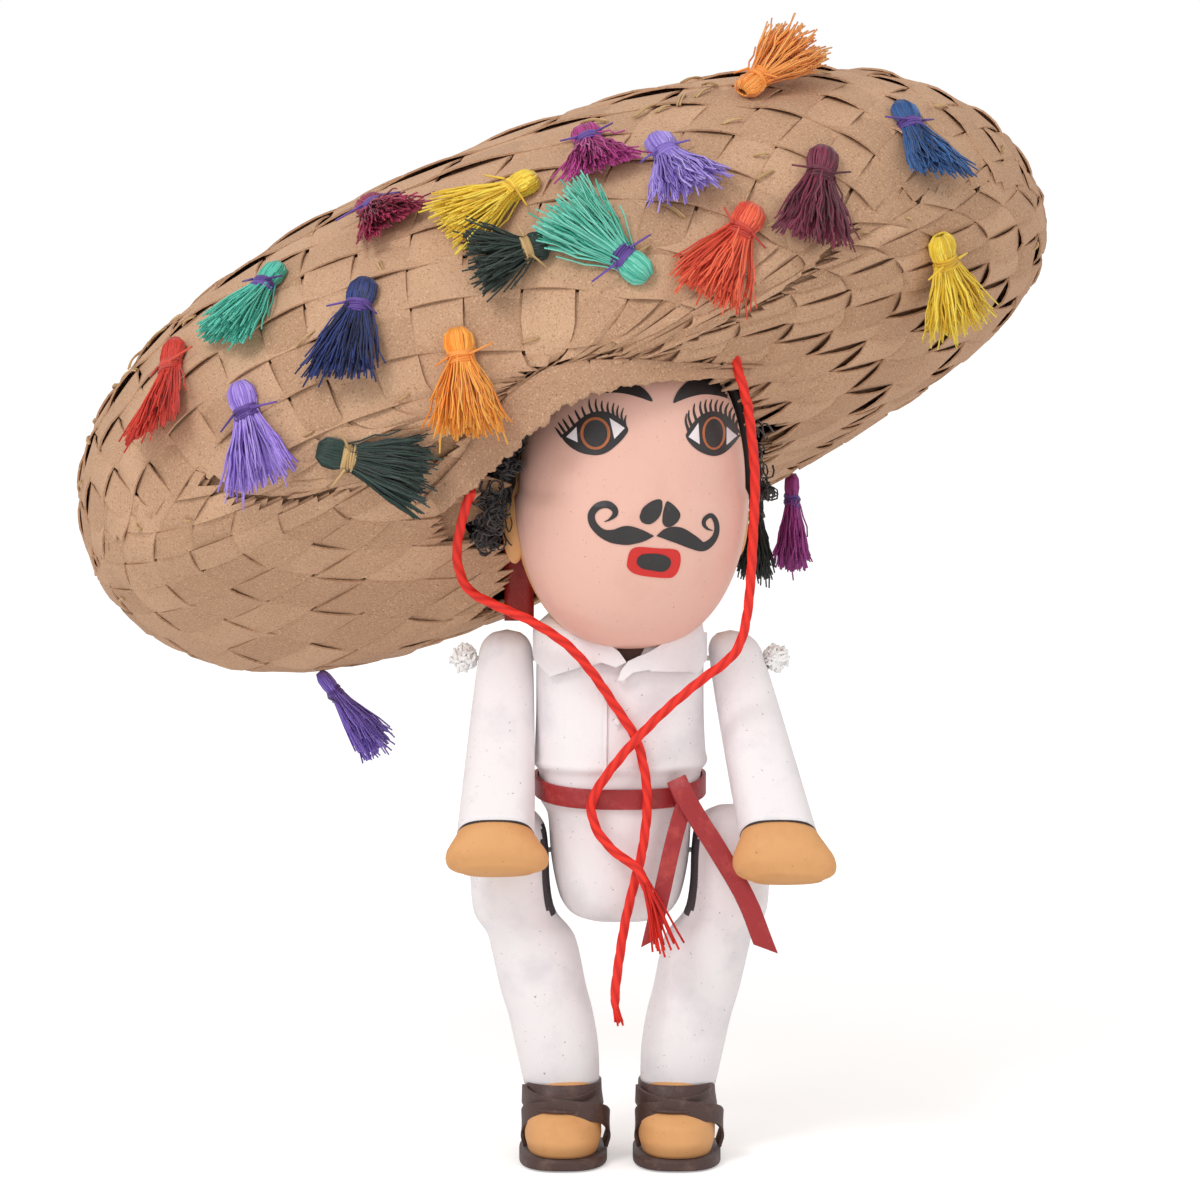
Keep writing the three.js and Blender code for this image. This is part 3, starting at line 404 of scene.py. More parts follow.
def twisted_cord(name, points, unlaid, **settings):
    """A tube whose section is three round plies that turn along the way, thin where its end has come undone."""
    whole = path_length(points)
    sides = 18
    vertices, shades = [], []
    gone = 0.0
    last = points[0]
    for point, across, other in square_to(points, Vector((0, 1, 0))):
        gone += (point - last).length
        last = point
        laid = max(0.3, min(1, (whole - gone) / unlaid))
        for k in range(sides):
            angle = 2 * pi * k / sides
            # lobe is 1 on a ply and 0 in the groove between plies; as the colour's shade it paints the grooves
            # darker: painted shade
            lobe = abs(cos(1.5 * (angle + 2 * pi * gone / CORD_LAY)))
            radius = CORD_DIAMETER / 2 * (0.7 + 0.3 * lobe**0.5) * laid
            vertices.append(at(point + (across * cos(angle) + other * sin(angle)) * radius))
            shades.append(lobe)
    cord = mesh_piece(name, vertices, tube_faces(0, len(points), sides), shades)
    return settle(cord, name, CORD, slot="red_cord", **settings)


# side, length that has come undone and how wide its yarns spread
for side, unlaid, fan in (("right", 8, 2.2), ("left", 24, 9)):
    points = smooth_path(CORD_ROUTES[side], 14)
    cord = twisted_cord(f"chin_cord_{side}_twist", points, unlaid, hides=[f"chin_cord_{side}"])
    undone = [k for k in range(len(points)) if path_length(points[k:]) < 1.15 * unlaid]
    frays = []
    for i in range(CORD_YARNS):
        spread = Vector((rand(-0.3, 1) * fan, rand(-0.5, 0.1) * fan, rand(-0.2, 0.2) * fan))
        off = Vector((rand(-1, 1), rand(-1, 1), 0)) * 0.8
        reach = rand(0.85, 1.12)
        line = []
        for k in undone[::4] + [undone[-1]]:
            gone = (k - undone[0]) / (undone[-1] - undone[0])
            line.append(points[k] + off + spread * gone**1.5 - Vector((0, 0, unlaid * (reach - 1) * gone)))
        frays.append((line, (0.52, 0.42), dice.random()))
    fray = strands(f"chin_cord_{side}_fray", frays)
    settle(fray, f"chin_cord_{side}_fray", CORD, slot="red_cord")
    if side == "left":
        inside_hat = smooth_path([(43.3, -37.1, 268.8), (41.8, -36.6, 275), (40, -35.4, 281), (38.5, -33, 288)], 8)
        twisted_cord("chin_cord_left_top", inside_hat, 0.01)
    at(points[0])
    [at(p) for p in points]

# Head: one egg in a pink front half and a tan back half with ears
HEAD_WIDTH, HEAD_DEPTH, HEAD_HEIGHT = 82, 74, 112
CHIN_HEIGHT = 181.5
HEAD_MIDDLE = Vector((3.5, -14, CHIN_HEIGHT + HEAD_HEIGHT / 2))
HEAD_TURN = Matrix.Rotation(radians(13), 3, "Z")
EAR_HEIGHT = 27
HAIR_BOTTOM = 226 - HEAD_MIDDLE.z


def egg(longitude, latitude, extra=0.0):
    up = sin(latitude)
    out = power(cos(latitude), 0.82) * (1 if up < 0 else 0.97)
    x = (HEAD_WIDTH / 2 + extra) * out * power(cos(longitude), 0.92)
    y = (HEAD_DEPTH / 2 + extra) * out * power(sin(longitude), 0.92)
    return Vector((x, y, (HEAD_HEIGHT / 2 + extra) * power(up, 0.96)))


def on_head(point):
    return HEAD_TURN @ Vector(point) + HEAD_MIDDLE


def from_head(point):
    return HEAD_TURN.transposed() @ (Vector(point) - HEAD_MIDDLE)


def in_head(point, extra):
    """Whether a point in millimetres lies in the head, grown by extra."""
    sizes = (HEAD_WIDTH, HEAD_DEPTH, HEAD_HEIGHT)
    x, y, z = (abs(place) / (size / 2 + extra) for place, size in zip(from_head(point), sizes))
    return x**2.1 + y**2.1 + z**2.3 < 1


def in_hair(point, extra):
    local = from_head(point)
    behind = local.y > 3 - extra and local.z > HAIR_BOTTOM - extra
    return behind and in_head(point, 11 + extra)


def half_head(front):
    first = -180 if front else 0
    return sheet(72, 72, lambda u, v: on_head(egg(radians(first + 180 * u), radians(-89.9 + 179.8 * v))),
                 2.4)


face = settle(half_head(True), "painted_face", PINK, slot="face_paint", hides=["face_shell"])
settle(half_head(False), "tan_back_of_head", TAN, slot="skin_paint", hides=["head_back"])
for side, sign in SIDES:

    def ear(turn, share, sign=sign):
        latitude = pi * (share - 0.5)
        hollow = 0.75 + 0.25 * abs(cos(turn)) ** 2
        local = Vector((0.3 * cos(latitude) * cos(turn) * hollow,
                        0.5 * cos(latitude) * sin(turn), 1.2 * sin(latitude))) * EAR_HEIGHT / 2
        local = Matrix.Rotation(sign * radians(-18), 3, "Z") @ local
        return on_head(local + Vector((sign * (HEAD_WIDTH / 2 - 1.2), 6, -10)))

    settle(ball(24, 16, ear), f"{side}_ear", TAN, slot="skin_paint")


def neck(turn, share):
    radius = 11.3 if 0.01 < share < 0.99 else 0
    return radius * cos(turn), radius * sin(turn) - 2, 179.5 + 12 * share


# The neck under the chin, dark brown as painted shade
settle(ball(32, 12, neck), "neck_in_painted_shade", NECK_PAINTED_SHADE, slot="neck_paint", hides=["neck"])

# Brush marks. Their outlines are columns and rows of the 1200 x 1200 picture.
FILL_STEP = 3  # pixels of the picture between the points inside a painted outline


def seen_surface(piece):
    """A painted surface, to lay brush marks on where the camera sees it."""
    return BVHTree.FromPolygons([v.co.copy() for v in piece.data.vertices],
                                [tuple(f.vertices) for f in piece.data.polygons])


def brush_outline(marks):
    """The outline of one stroke from its middle line: column, row and width at each point."""
    path = smooth_path([Vector(m) for m in marks], 6)
    left, right = [], []
    for i, point in enumerate(path):
        a, b = path[max(i - 1, 0)], path[min(i + 1, len(path) - 1)]
        way = Vector((b.x - a.x, b.y - a.y)).normalized()
        half = max(point.z, 0.3) / 2
        left.append(Vector((point.x - way.y * half, point.y + way.x * half)))
        right.append(Vector((point.x + way.y * half, point.y - way.x * half)))
    return left + right[::-1]


def paint(name, outlines, surface, lift, material, slot="face_paint"):
    """Brush marks or folds: outlines filled with triangles, laid on the surface and about lift millimetres thick."""
    vertices, faces = [], []
    for outline in outlines:
        edge = [Vector((p[0], p[1])) for p in outline]
        xs, ys = [p.x for p in edge], [p.y for p in edge]
        inner = []
        row = min(ys)
        while row < max(ys):
            column = min(xs)
            while column < max(xs):
                inner.append(Vector((column, row)))
                column += FILL_STEP
            row += FILL_STEP
        loop = list(range(len(edge)))
        flat, _, triangles, *_ = geometry.delaunay_2d_cdt(edge + inner, [], [loop], 1, 1e-4)
        start = len(vertices)
        placed = {}
        for i, point in enumerate(flat):
            way = sight(point.x, point.y)
            hit = surface.ray_cast(eye, way)[0]
            if hit is not None:
                placed[i] = start + len(placed)
                vertices.append(hit - way * lift / 1000)
        faces += [tuple(placed[i] for i in t) for t in triangles if all(i in placed for i in t)]
    piece = mesh_piece(name, vertices, faces)
    modify(piece, "SOLIDIFY", thickness=max(0.1, lift - 0.1) / 1000, offset=-1)
    return settle(piece, name, material, slot=slot, smooth=False)


FACE_ZOOM = 5.227


def crop(points):
    """Places and widths measured on an enlarged part of the picture that starts at 500, 360."""
    return [(500 + p[0] / FACE_ZOOM, 360 + p[1] / FACE_ZOOM) + tuple(w / FACE_ZOOM for w in p[2:]) for p in points]


def round_mark(points):
    return [Vector(p) for p in smooth_path([Vector((x, y, 0)) for x, y in crop(points)], 6, closed=True)]


def oval(x, y, half_width, half_height):
    return crop([(x + half_width * cos(a), y + half_height * sin(a))
                 for a in (2 * pi * i / 40 for i in range(40))])


def lashes(pairs):
    marks = []
    for x0, y0, x1, y1 in pairs:
        middle = (x0 + x1) / 2 - 0.12 * (y0 - y1)
        marks.append(brush_outline(crop([(x0, y0 + 14, 15), (middle, (y0 + y1) / 2, 11), (x1, y1, 4)])))
    return marks


ears = seen_surface(bpy.data.objects["right_ear"])
paint("ear_line", [brush_outline([(501, 507, 0.8), (503.4, 506.2, 1), (502.6, 516, 1.1), (502.9, 526.5, 1.2),
                                  (504.8, 536, 1.3), (509, 543, 1.2), (512, 545.6, 0.9)]),
                   brush_outline([(507, 506.6, 0.8), (505.4, 513, 1), (505.6, 521, 1), (507.8, 530.5, 1),
                                  (510, 531, 1), (512, 523.6, 1), (510.4, 517, 0.8)])], ears, 0.2, BLACK)

skin = seen_surface(face)
eye_outlines = [
    round_mark([(322, 400), (360, 448), (420, 484), (500, 498), (560, 482), (612, 442), (650, 402), (670, 362),
                (640, 318), (590, 283), (530, 268), (460, 283), (400, 326), (350, 372)]),
    round_mark([(972, 400), (1000, 444), (1050, 482), (1115, 502), (1170, 487), (1215, 447), (1246, 407),
                (1254, 380), (1225, 328), (1180, 288), (1120, 268), (1060, 283), (1010, 328), (984, 368)]),
]
eyelashes = lashes([
    (325, 388, 288, 352), (342, 368, 303, 325), (362, 350, 328, 308), (388, 328, 358, 288), (420, 303, 392, 262),
    (450, 288, 428, 243), (488, 277, 466, 205), (515, 272, 503, 203), (545, 276, 534, 213), (574, 286, 566, 219),
    (600, 299, 596, 225), (622, 314, 620, 238), (645, 333, 645, 250), (660, 352, 660, 288),
    (987, 362, 975, 280), (1002, 336, 988, 262), (1028, 308, 1017, 228), (1060, 286, 1050, 215),
    (1083, 277, 1078, 207), (1107, 272, 1108, 205), (1131, 273, 1138, 208), (1155, 280, 1167, 215),
    (1180, 292, 1195, 225), (1200, 308, 1219, 243), (1218, 328, 1240, 262), (1233, 346, 1256, 290),
    (1245, 366, 1262, 320), (1250, 386, 1266, 352),
])
brows = [
    round_mark([(500, 172), (560, 140), (620, 118), (670, 108), (722, 130), (770, 168), (797, 216), (742, 200),
                (680, 182), (620, 172), (560, 172)]),
    round_mark([(906, 223), (928, 166), (978, 115), (1050, 91), (1130, 91), (1192, 124), (1236, 174), (1266, 234),
                (1200, 205), (1130, 185), (1060, 180), (990, 195), (940, 213)]),
]
nostrils = [
    round_mark([(735, 800), (750, 770), (790, 740), (830, 728), (848, 742), (845, 790), (825, 830), (785, 858),
                (745, 850), (730, 825)]),
    round_mark([(868, 745), (885, 742), (920, 770), (942, 805), (932, 840), (900, 868), (868, 872), (850, 850),
                (852, 800)]),
]
moustache = [
    brush_outline(crop([(803, 920, 4), (745, 920, 62), (665, 917, 100), (592, 922, 72), (533, 905, 46),
                        (488, 860, 40), (478, 808, 38), (510, 766, 38), (560, 755, 38), (597, 778, 34),
                        (600, 808, 28), (572, 834, 12), (545, 846, 3)])),
    brush_outline(crop([(820, 920, 4), (872, 910, 62), (935, 917, 86), (1003, 950, 74), (1060, 975, 50),
                        (1105, 950, 36), (1131, 905, 28), (1130, 850, 26), (1105, 813, 24), (1072, 830, 22),
                        (1066, 860, 20), (1086, 883, 12), (1112, 891, 3)])),
]
paint("black_features", eye_outlines + eyelashes + brows + nostrils + moustache, skin, 0.14, BLACK)
eye_corners = [
    [(347, 402), (400, 350), (406, 430)], [(573, 304), (652, 356), (598, 413)],
    [(985, 402), (1036, 330), (1043, 440)], [(1184, 350), (1238, 396), (1184, 442)],
]
paint("white_of_eyes", [crop(points) for points in eye_corners], skin, 0.26, EYE_WHITE)
paint("rust_iris_rings", [oval(499, 384, 78, 85), oval(1117, 383, 60, 86)], skin, 0.26, IRIS)
paint("black_pupils", [oval(499, 384, 62, 70), oval(1117, 383, 46, 75)], skin, 0.38, BLACK)
paint("red_lips", [round_mark([(664, 1060), (680, 1000), (722, 978), (820, 984), (920, 992), (944, 1030),
                               (936, 1090), (910, 1130), (870, 1140), (760, 1130), (700, 1115), (668, 1088)])],
      skin, 0.14, RED_MOUTH)
paint("dark_mouth", [round_mark([(714, 1055), (735, 1020), (790, 1012), (850, 1018), (890, 1042), (886, 1082),
                                 (850, 1106), (790, 1099), (738, 1087)])], skin, 0.26, BLACK)

# Hair: a cap over the back of the head down to the ears, set with curls, and more curls by the right ear
HAIR_THICKNESS = 7
CAP_CURLS, EAR_CURLS = 760, 380
hair_lines = []


def hair_floor(longitude):
    """The latitude of the hair's lower edge."""
    behind_ear = (HEAD_DEPTH / 2) * sin(longitude) > 15.5
    floor_height = HAIR_BOTTOM if behind_ear else -0.15 * EAR_HEIGHT
    return asin(floor_height / (HEAD_HEIGHT / 2 + HAIR_THICKNESS))


def hair_base(u, v):
    longitude = radians(0.5 + 179 * u)
    return on_head(egg(longitude, mix(hair_floor(longitude), radians(89), v), HAIR_THICKNESS))


def add_curl(middle, radius):
    """A short coil that opens and narrows along its way, turned at random."""
    axis = Vector((rand(-1, 1), rand(-1, 1), rand(-1, 1))).normalized()
    side_way = axis.orthogonal().normalized()
    other_way = axis.cross(side_way)
    rise = rand(0.2, 0.45)
    wander = rand(0, 2 * pi)
    curl = []
    for k in range(18):
        turn = 2 * pi * k / 8
        wide = radius * (1 + 0.3 * sin(0.9 * k + wander))
        curl.append(on_head(middle + axis * (k - 9) * rise
                            + (side_way * cos(turn) + other_way * sin(turn)) * wide))
    hair_lines.append((curl, (0.42, 0.3), dice.random()))


settle(sheet(60, 30, hair_base, 6), "hair_cap", HAIR, slot="hair_fibre", hides=["hair"])
for i in range(CAP_CURLS):
    longitude = radians(rand(-6, 186))
    latitude = mix(hair_floor(longitude), radians(60), dice.random() ** 1.6)
    add_curl(egg(longitude, latitude, rand(6.5, 12.5 if longitude > 2.4 else 8.5)), rand(1.4, 2.6))
for i in range(EAR_CURLS):
    middle = egg(radians(rand(160, 204)), radians(rand(-17, 34)), rand(3.5, 15))
    if middle.y < -13 or (middle.y < 11 and middle.z < 0.25 * EAR_HEIGHT and middle.x > -HEAD_WIDTH / 2 - 6):
        continue
    add_curl(middle, rand(1.2, 2.7))
settle(strands("hair_curls", hair_lines), "hair_curls", HAIR, slot="hair_fibre")

# Hat
HAT_HALF_WIDTH, HAT_HALF_DEPTH, HAT_CROWN, HAT_BELLY, HAT_BELLY_LEAN = 182, 128, 87, 62, 0.16
HAT_CENTRE = Vector((-18.5, 66, 266))
HAT_MOUTH_HALF_WIDTH, HAT_MOUTH_HALF_DEPTH = 50, 62
FIRM_RISE = 1.98  # where normals are still taken, short of the mouth
# Where the mouth is drawn in by the doll's right ear: degrees round the hat, half width in degrees, and share
PINCH_MIDDLE, PINCH_HALF_WIDTH, PINCH = 196, 25, 0.6
HAT_TURN = Matrix.Rotation(-radians(21.8), 3, "Y") @ Matrix.Rotation(-radians(14), 3, "X")


def hat_point(angle, rise, level=0.0):
    """A place on the hat. rise is 0 at the top, 1 at the widest ring and 2 at the mouth round the head."""
    rim = Vector((HAT_HALF_WIDTH * power(cos(angle), 0.92), HAT_HALF_DEPTH * power(sin(angle), 0.92), 0))
    if rise <= 1:
        turn = rise * pi / 2
        out = sin(turn) ** 0.85
        local = Vector((rim.x * out * (1 + level / HAT_HALF_WIDTH), rim.y * out * (1 + level / HAT_HALF_DEPTH),
                        (HAT_CROWN + level) * abs(cos(turn)) ** 0.85))
    else:
        turn = min(rise - 1, 1) * pi / 2
        back = (1 + sin(angle)) / 2
        belly = mix(12, HAT_BELLY, min(1, back * 1.7) ** 0.8) * (1 - HAT_BELLY_LEAN * cos(angle))
        tight = max(0.0, 1 - ((degrees(angle) % 360 - PINCH_MIDDLE) / PINCH_HALF_WIDTH) ** 2)
        mouth = Vector((HAT_MOUTH_HALF_WIDTH * cos(angle) * (1 - PINCH * tight),
                        HAT_MOUTH_HALF_DEPTH * sin(angle) - HAT_MOUTH_HALF_DEPTH, 0))
        spread = abs(cos(turn)) ** 0.9
        local = rim * spread + mouth * (1 - spread)
        local.x *= 1 + level / HAT_HALF_WIDTH * spread
        local.y *= 1 + level / HAT_HALF_DEPTH * spread
        local.z = -(belly + level) * sin(turn) ** 0.9
    return HAT_TURN @ local + HAT_CENTRE


def hat_normal(angle, rise):
    here = hat_point(angle, rise)
    step = 0.01 if rise < FIRM_RISE else -0.01
    round_way = hat_point(angle + 0.01, rise) - here
    down_way = (hat_point(angle, rise + step) - here) / step
    return down_way.cross(round_way).normalized()


# Strips of both directions cross. Over the crown, and over the face down to the lip, they lie as on a flat sheet,
# one direction about level. Elsewhere under the widest ring they run slantwise and close in towards the head.
FLAT_WIDTH, FLAT_DEPTH = 218, 170  # from the top to the widest ring, along the surface
STRIP = 18.4  # from strip to strip
BOARD_THICKNESS = 0.0007  # in metres
CROWN_LEAN = radians(-20)
ROUND_COUNT = 30  # crossings round the underside
ROUND_ROWS = 5.6  # crossings from the widest ring to the head
FACE_MIDDLE, FACE_HALF_WIDTH = 268, 38  # degrees round the hat over the face
LAST_RISE = 1.995  # where strips end at the mouth
ROOM, ROOM_BY_EAR = 0.5, 11  # millimetres that strips keep from the head


def on_crown(s, t):
    """The angle and rise of a place on the crown's lattice, whose unit is one strip."""
    x = (s * cos(CROWN_LEAN) - t * sin(CROWN_LEAN)) * STRIP / FLAT_WIDTH
    y = (s * sin(CROWN_LEAN) + t * cos(CROWN_LEAN)) * STRIP / FLAT_DEPTH
    angle, rise = atan2(y, x), hypot(x, y)
    if rise > 1:
        flat = hypot(FLAT_WIDTH * cos(angle), FLAT_DEPTH * sin(angle))
        below = 1.15 * (hat_point(angle, 2) - hat_point(angle, 1)).length
        rise = min(2.4, 1 + (rise - 1) * flat / below)
    return angle, rise


def front_share(angle):
    """1 over the face, where the crown's plait runs on down to the lip."""
    return max(0.0, min(1.0, (FACE_HALF_WIDTH - abs(degrees(angle) % 360 - FACE_MIDDLE)) / 5))


def on_underside(s, t):
    """The angle and rise of a place on the lattice of the underside."""
    return 2 * pi * (s + t) / 2 / ROUND_COUNT, 0.93 + (s - t) / 2 / ROUND_ROWS


def between_corners(corners, s, t):
    a, b, c, d = corners
    return mix(mix(a, b, t), mix(c, d, t), s)


class Plait:
    """All strips of one direction on one part of the hat, bent over and under those of the other direction.

    Their width is a share of the lattice, and shingle lifts one edge of each strip of the first direction by so many
    millimetres.
    """

    along, across = 4, 3  # facets of one crossing

    def __init__(self, place, family, first_rise, last_rise, width, shingle):
        self.place, self.family = place, family
        self.first_rise, self.last_rise = first_rise, last_rise
        self.width, self.shingle = width, shingle
        self.vertices, self.faces, self.shades = [], [], []
        self.corners = {}

    def spot(self, s, t):
        return self.place(s, t) if self.family == 0 else self.place(t, s)

    def corner(self, s, t):
        """A place on the hat with its normal, kept for the crossings that share it."""
        key = (round(s, 4), round(t, 4))
        if key not in self.corners:
            angle, rise = self.spot(s, t)
            rise = max(0.0, min(rise, 2.0))
            self.corners[key] = hat_point(angle, rise), hat_normal(angle, min(rise, FIRM_RISE))
        return self.corners[key]

    def strip(self, index, start, count):
        """One strip: it leans, lifts and curls a little from crossing to crossing."""
        shade = dice.random()
        half = self.width / 2 + rand(-0.03, 0.02)
        lean = rand(-0.03, 0.03)
        curl = rand(-0.5, 0.5)
        lift = rand(-0.2, 0.2)
        for cell in range(start, start + count):
            next_curl, next_lift, next_lean = rand(-0.6, 0.6), rand(-0.2, 0.2), rand(-0.03, 0.03)
            low, high = index + 0.5 - half, index + 0.5 + half
            rises = [self.spot(cell + a, b)[1] for a in (0, 1) for b in (low, high)]
            if max(rises) >= self.first_rise and min(rises) <= 2:
                self.crossing(cell, index, (low, high), (lean, next_lean), (curl, next_curl), (lift, next_lift),
                              min(1, max(0, shade + rand(-0.12, 0.12))))
            curl, lift, lean = next_curl, next_lift, next_lean

    def crossing(self, cell, index, edges, leans, curls, lifts, shade):
        places, normals = zip(*[self.corner(cell + a, edges[b] + leans[a]) for a in (0, 1) for b in (0, 1)])
        parity = 1 if (cell + index + self.family) % 2 else -1
        start = len(self.vertices)
        inside = []
        for i in range(self.along + 1):
            for j in range(self.across + 1):
                s, t = i / self.along, j / self.across
                angle, rise = self.spot(cell + s, mix(edges[0], edges[1], t) + mix(leans[0], leans[1], s))
                rise = max(0.0, rise)
                front = front_share(angle)
                border = 0.94 * front
                follow = 0.3 if rise < 0.8 else mix(0.3, 0.9, front)
                normal = between_corners(normals, s, t).normalized()
                point = mix(between_corners(places, s, t), hat_point(angle, min(rise, 2.0)), follow)
                # the strips stand out more under the rim at the doll's left
                bold = max(0.0, min(1.0, (rise - 1.05) / 0.25)) * max(0, cos(angle) + 0.3)
                wave = parity * max(0.0, sin(pi * s)) ** 0.45 * (0.85 + 0.8 * bold)
                height = wave + mix(curls[0], curls[1], s) * (t - 0.5) * 1.7 + mix(lifts[0], lifts[1], s)
                if self.family == 0:
                    height += self.shingle * (0.5 - t)
                point = point + normal * height
                self.vertices.append(at(point))
                self.shades.append(shade)
                by_ear = point.x < -25 and point.z > 221 and rise > 1.5
                room = ROOM_BY_EAR if by_ear else ROOM
                first = self.first_rise + (border if self.first_rise else 0)
                last = min(LAST_RISE, self.last_rise + border)
                inside.append(first <= rise <= last and not in_head(point, 0.3 + room)
                              and not in_hair(point, room))
        row = self.across + 1
        for i in range(self.along):
            for j in range(self.across):
                square = [i * row + j, (i + 1) * row + j, (i + 1) * row + j + 1, i * row + j + 1]
                if all(inside[k] for k in square):
                    self.faces.append(tuple(start + k for k in square))

    def piece(self, name, hides):
        made = mesh_piece(name, self.vertices, self.faces, self.shades)
        merge_points(made, 2e-5)
        modify(made, "SOLIDIFY", thickness=BOARD_THICKNESS, offset=0)
        return settle(made, name, BOARD, slot="kraft_board", hides=hides, smooth=False)


for family, word in ((0, "level"), (1, "steep")):
    plait = Plait(on_crown, family, first_rise=0.0, last_rise=1.04, width=0.97, shingle=1.9)
    reach = int(FLAT_WIDTH / STRIP) + 2
    for index in range(-reach, reach + 1):
        plait.strip(index, -reach, 2 * reach)
    plait.piece(f"crown_{word}_strips", ["hat_crown"])
for family, word in ((0, "rising"), (1, "falling")):
    plait = Plait(on_underside, family, first_rise=0.97, last_rise=LAST_RISE, width=0.94, shingle=0.5)
    rows = int(ROUND_ROWS) + 2
    for index in range(ROUND_COUNT):
        if family == 0:
            plait.strip(index, index - 1, 2 * rows)
        else:
            plait.strip(index, index - 2 * rows, 2 * rows + 1)
    plait.piece(f"underside_{word}_strips", ["hat_underside"])


def lining(u, v):
    return hat_point(2 * pi * u, 0.004 + 1.99 * v, -2.6)


whole = sheet(110, 64, lining, 0)
points = [v.co * 1000 - TORSO_AXIS for v in whole.data.vertices]
inside = {i for i, point in enumerate(points) if in_head(point, 0.8) or in_hair(point, 0.5)}
kept = [tuple(f.vertices) for f in whole.data.polygons if not inside.intersection(f.vertices)]
points = [v.co.copy() for v in whole.data.vertices]
bpy.data.objects.remove(whole)
hat_lining = mesh_piece("hat_lining", points, kept, [0.5] * len(points))
modify(hat_lining, "SOLIDIFY", thickness=BOARD_THICKNESS, offset=0)
settle(hat_lining, "hat_lining", LINING, slot="kraft_board")


# The torn lip: where it leaves the hat (angle in degrees, rise), and the way from there to its hem
LIP = [
    (221.5, 1.92, 3, -1.5, -4.5), (228.5, 1.95, 5.6, -1.5, -6.4), (235, 1.98, 5.6, -1.5, -7.5),
    (245, 1.98, 7.5, -1.5, -10), (262.5, 1.98, 6.1, -1.5, -13), (279.5, 1.98, 1.6, -1.5, -12),
    (293, 1.98, -0.3, -1.5, -9.4), (308, 1.98, -0.1, -1.5, -5.3), (319, 1.95, 0.2, -1.5, -3.6),
    (328.5, 1.91, 0.2, -1.5, -2.8),
]


def lip(u, v):
    angle, rise, x, y, z = column_value(LIP, u)
    angle, rise = radians(angle), min(rise, 1.99)
    ragged = 1 + 0.05 * sin(61 * u) + 0.04 * sin(143 * u + 1) + 0.03 * sin(337 * u)
    reach = mix(-0.1, ragged, v)
    if reach < 0:
        return hat_point(angle, rise + 0.3 * reach, 1.9 + 0.5 * sin(14 * u))
    top = hat_point(angle, rise, 1.6) + Vector((0, -1.2, 0))
    return top + Vector((x, y - 0.5 * sin(14 * u + 3 * v), z)) * reach


settle(sheet(160, 10, lip, 1.1), "torn_front_edge", TORN, slot="kraft_board", hides=["hat_front_edge"])

# Tassels: head and direction as (degrees, rise), dark and light colour, tie, length and lift in degrees
TASSELS = [
    ("red", (224, 0.65), (226, 0.94), "AE1C10", "E8432A", "red", 42, 8),
    ("lavender", (238, 0.86), (233, 1.39), "7A54BE", "C4A8F4", "purple", 40, 8),
    ("green", (244, 1.22), (230, 1.9), "101A17", "2C4A40", "tan", 40, 8),
    ("orange", (264, 0.95), (248, 1.9), "F5860E", "FFC052", "orange", 40, 19),
    ("navy", (256, 0.75), (251, 0.97), "10143A", "2A3F86", "purple", 38, 8),
    ("teal", (242, 0.57), (237, 0.78), "12927C", "6AD4BC", "purple", 36, 8),
    ("crimson", (254, 0.45), (262, 0.71), "7A0E30", "C0305F", "purple", 34, 8),
    ("yellow", (276, 0.65), (266, 0.74), "E6B210", "FFE656", "yellow", 36, 8),
    ("green_top", (274, 0.85), (267, 0.85), "121A17", "2F4238", "tan", 26, 18),
    ("turquoise", (282, 0.99), (277, 0.79), "24A88C", "8EE4CE", "purple", 40, 8),
    ("magenta", (285, 0.53), (282, 0.82), "8E0F5E", "D04AA2", "purple", 32, 8),
    ("lavender_top", (291, 0.66), (290, 0.95), "7C5CC0", "C2AEF0", "lavender", 34, 8),
    ("vermilion", (296, 0.93), (293, 1.63), "D0331A", "FA7048", "red", 38, 8),
    ("maroon", (308, 0.85), (302, 1.35), "4A0D20", "8E2C4C", "maroon", 40, 8),
    ("blue", (325, 0.78), (320, 1.11), "15305F", "3570B4", "purple", 38, 8),
    ("yellow_left", (322, 1.24), (342, 1.59), "E6B612", "FFE658", "yellow", 40, 22),
    ("orange_top", (307, 0.6), (322, 0.57), "EE8018", "FFB65C", "orange", 32, 22),
    ("violet_back", (164, 1.64), (180, 1.6), "5F3BA6", "A084E6", "purple", 34, 0),
    ("magenta_back", (59, 1.69), (66, 1.4), "7C1660", "B244A0", "purple", 34, 0),
    ("black_back", (66, 1.72), (74, 1.5), "101512", "2A332E", "black", 30, 0),
]
HANGING = {"violet_back": 38, "magenta_back": 0, "black_back": 0}  # degrees of lean to the doll's left
SLOTS = {"lavender_top": "lavender", "violet_back": "lavender", "green": "dark_green", "green_top": "dark_green",
         "teal": "turquoise", "vermilion": "red", "yellow_left": "yellow", "orange_top": "orange",
         "magenta_back": "magenta", "black_back": "dark_green"}
TIES = {name.split("_")[0]: fibre(name + "_tie", dark, light) for name, dark, light in (
    ("purple_thread", "48297A", "6B48A0"), ("tan_thread", "A8854F", "CDAA74"), ("red_fibre", "B02A1C", "E0503A"),
    ("orange_fibre", "E07A1C", "F8A24A"), ("yellow_fibre", "D09F10", "F2CC3A"),
    ("lavender_fibre", "6E50AC", "9A80D4"), ("maroon_fibre", "4A1022", "74233A"),
    ("black_fibre", "101010", "2A2A2A"))}
# share of the length and half width of the bundle there: the folded head, the tie and the spread skirt
BUNDLE = [(0.0, 2.6), (0.07, 5), (0.16, 5.4), (0.25, 4.1), (0.31, 4.1), (0.48, 7), (0.75, 10.8), (1.0, 14)]
FLATNESS = 0.62
TIED = 0.3  # share of the length where the head ends and the skirt begins
CLEARANCE = 1.4  # millimetres that fibres keep above the hat
FIBRES = 260


def bundle_width(share):
    (s0, w0), (s1, w1) = next(pair for pair in zip(BUNDLE, BUNDLE[1:]) if share <= pair[1][0])
    t = (share - s0) / (s1 - s0)
    return mix(w0, w1, t * t * (3 - 2 * t))


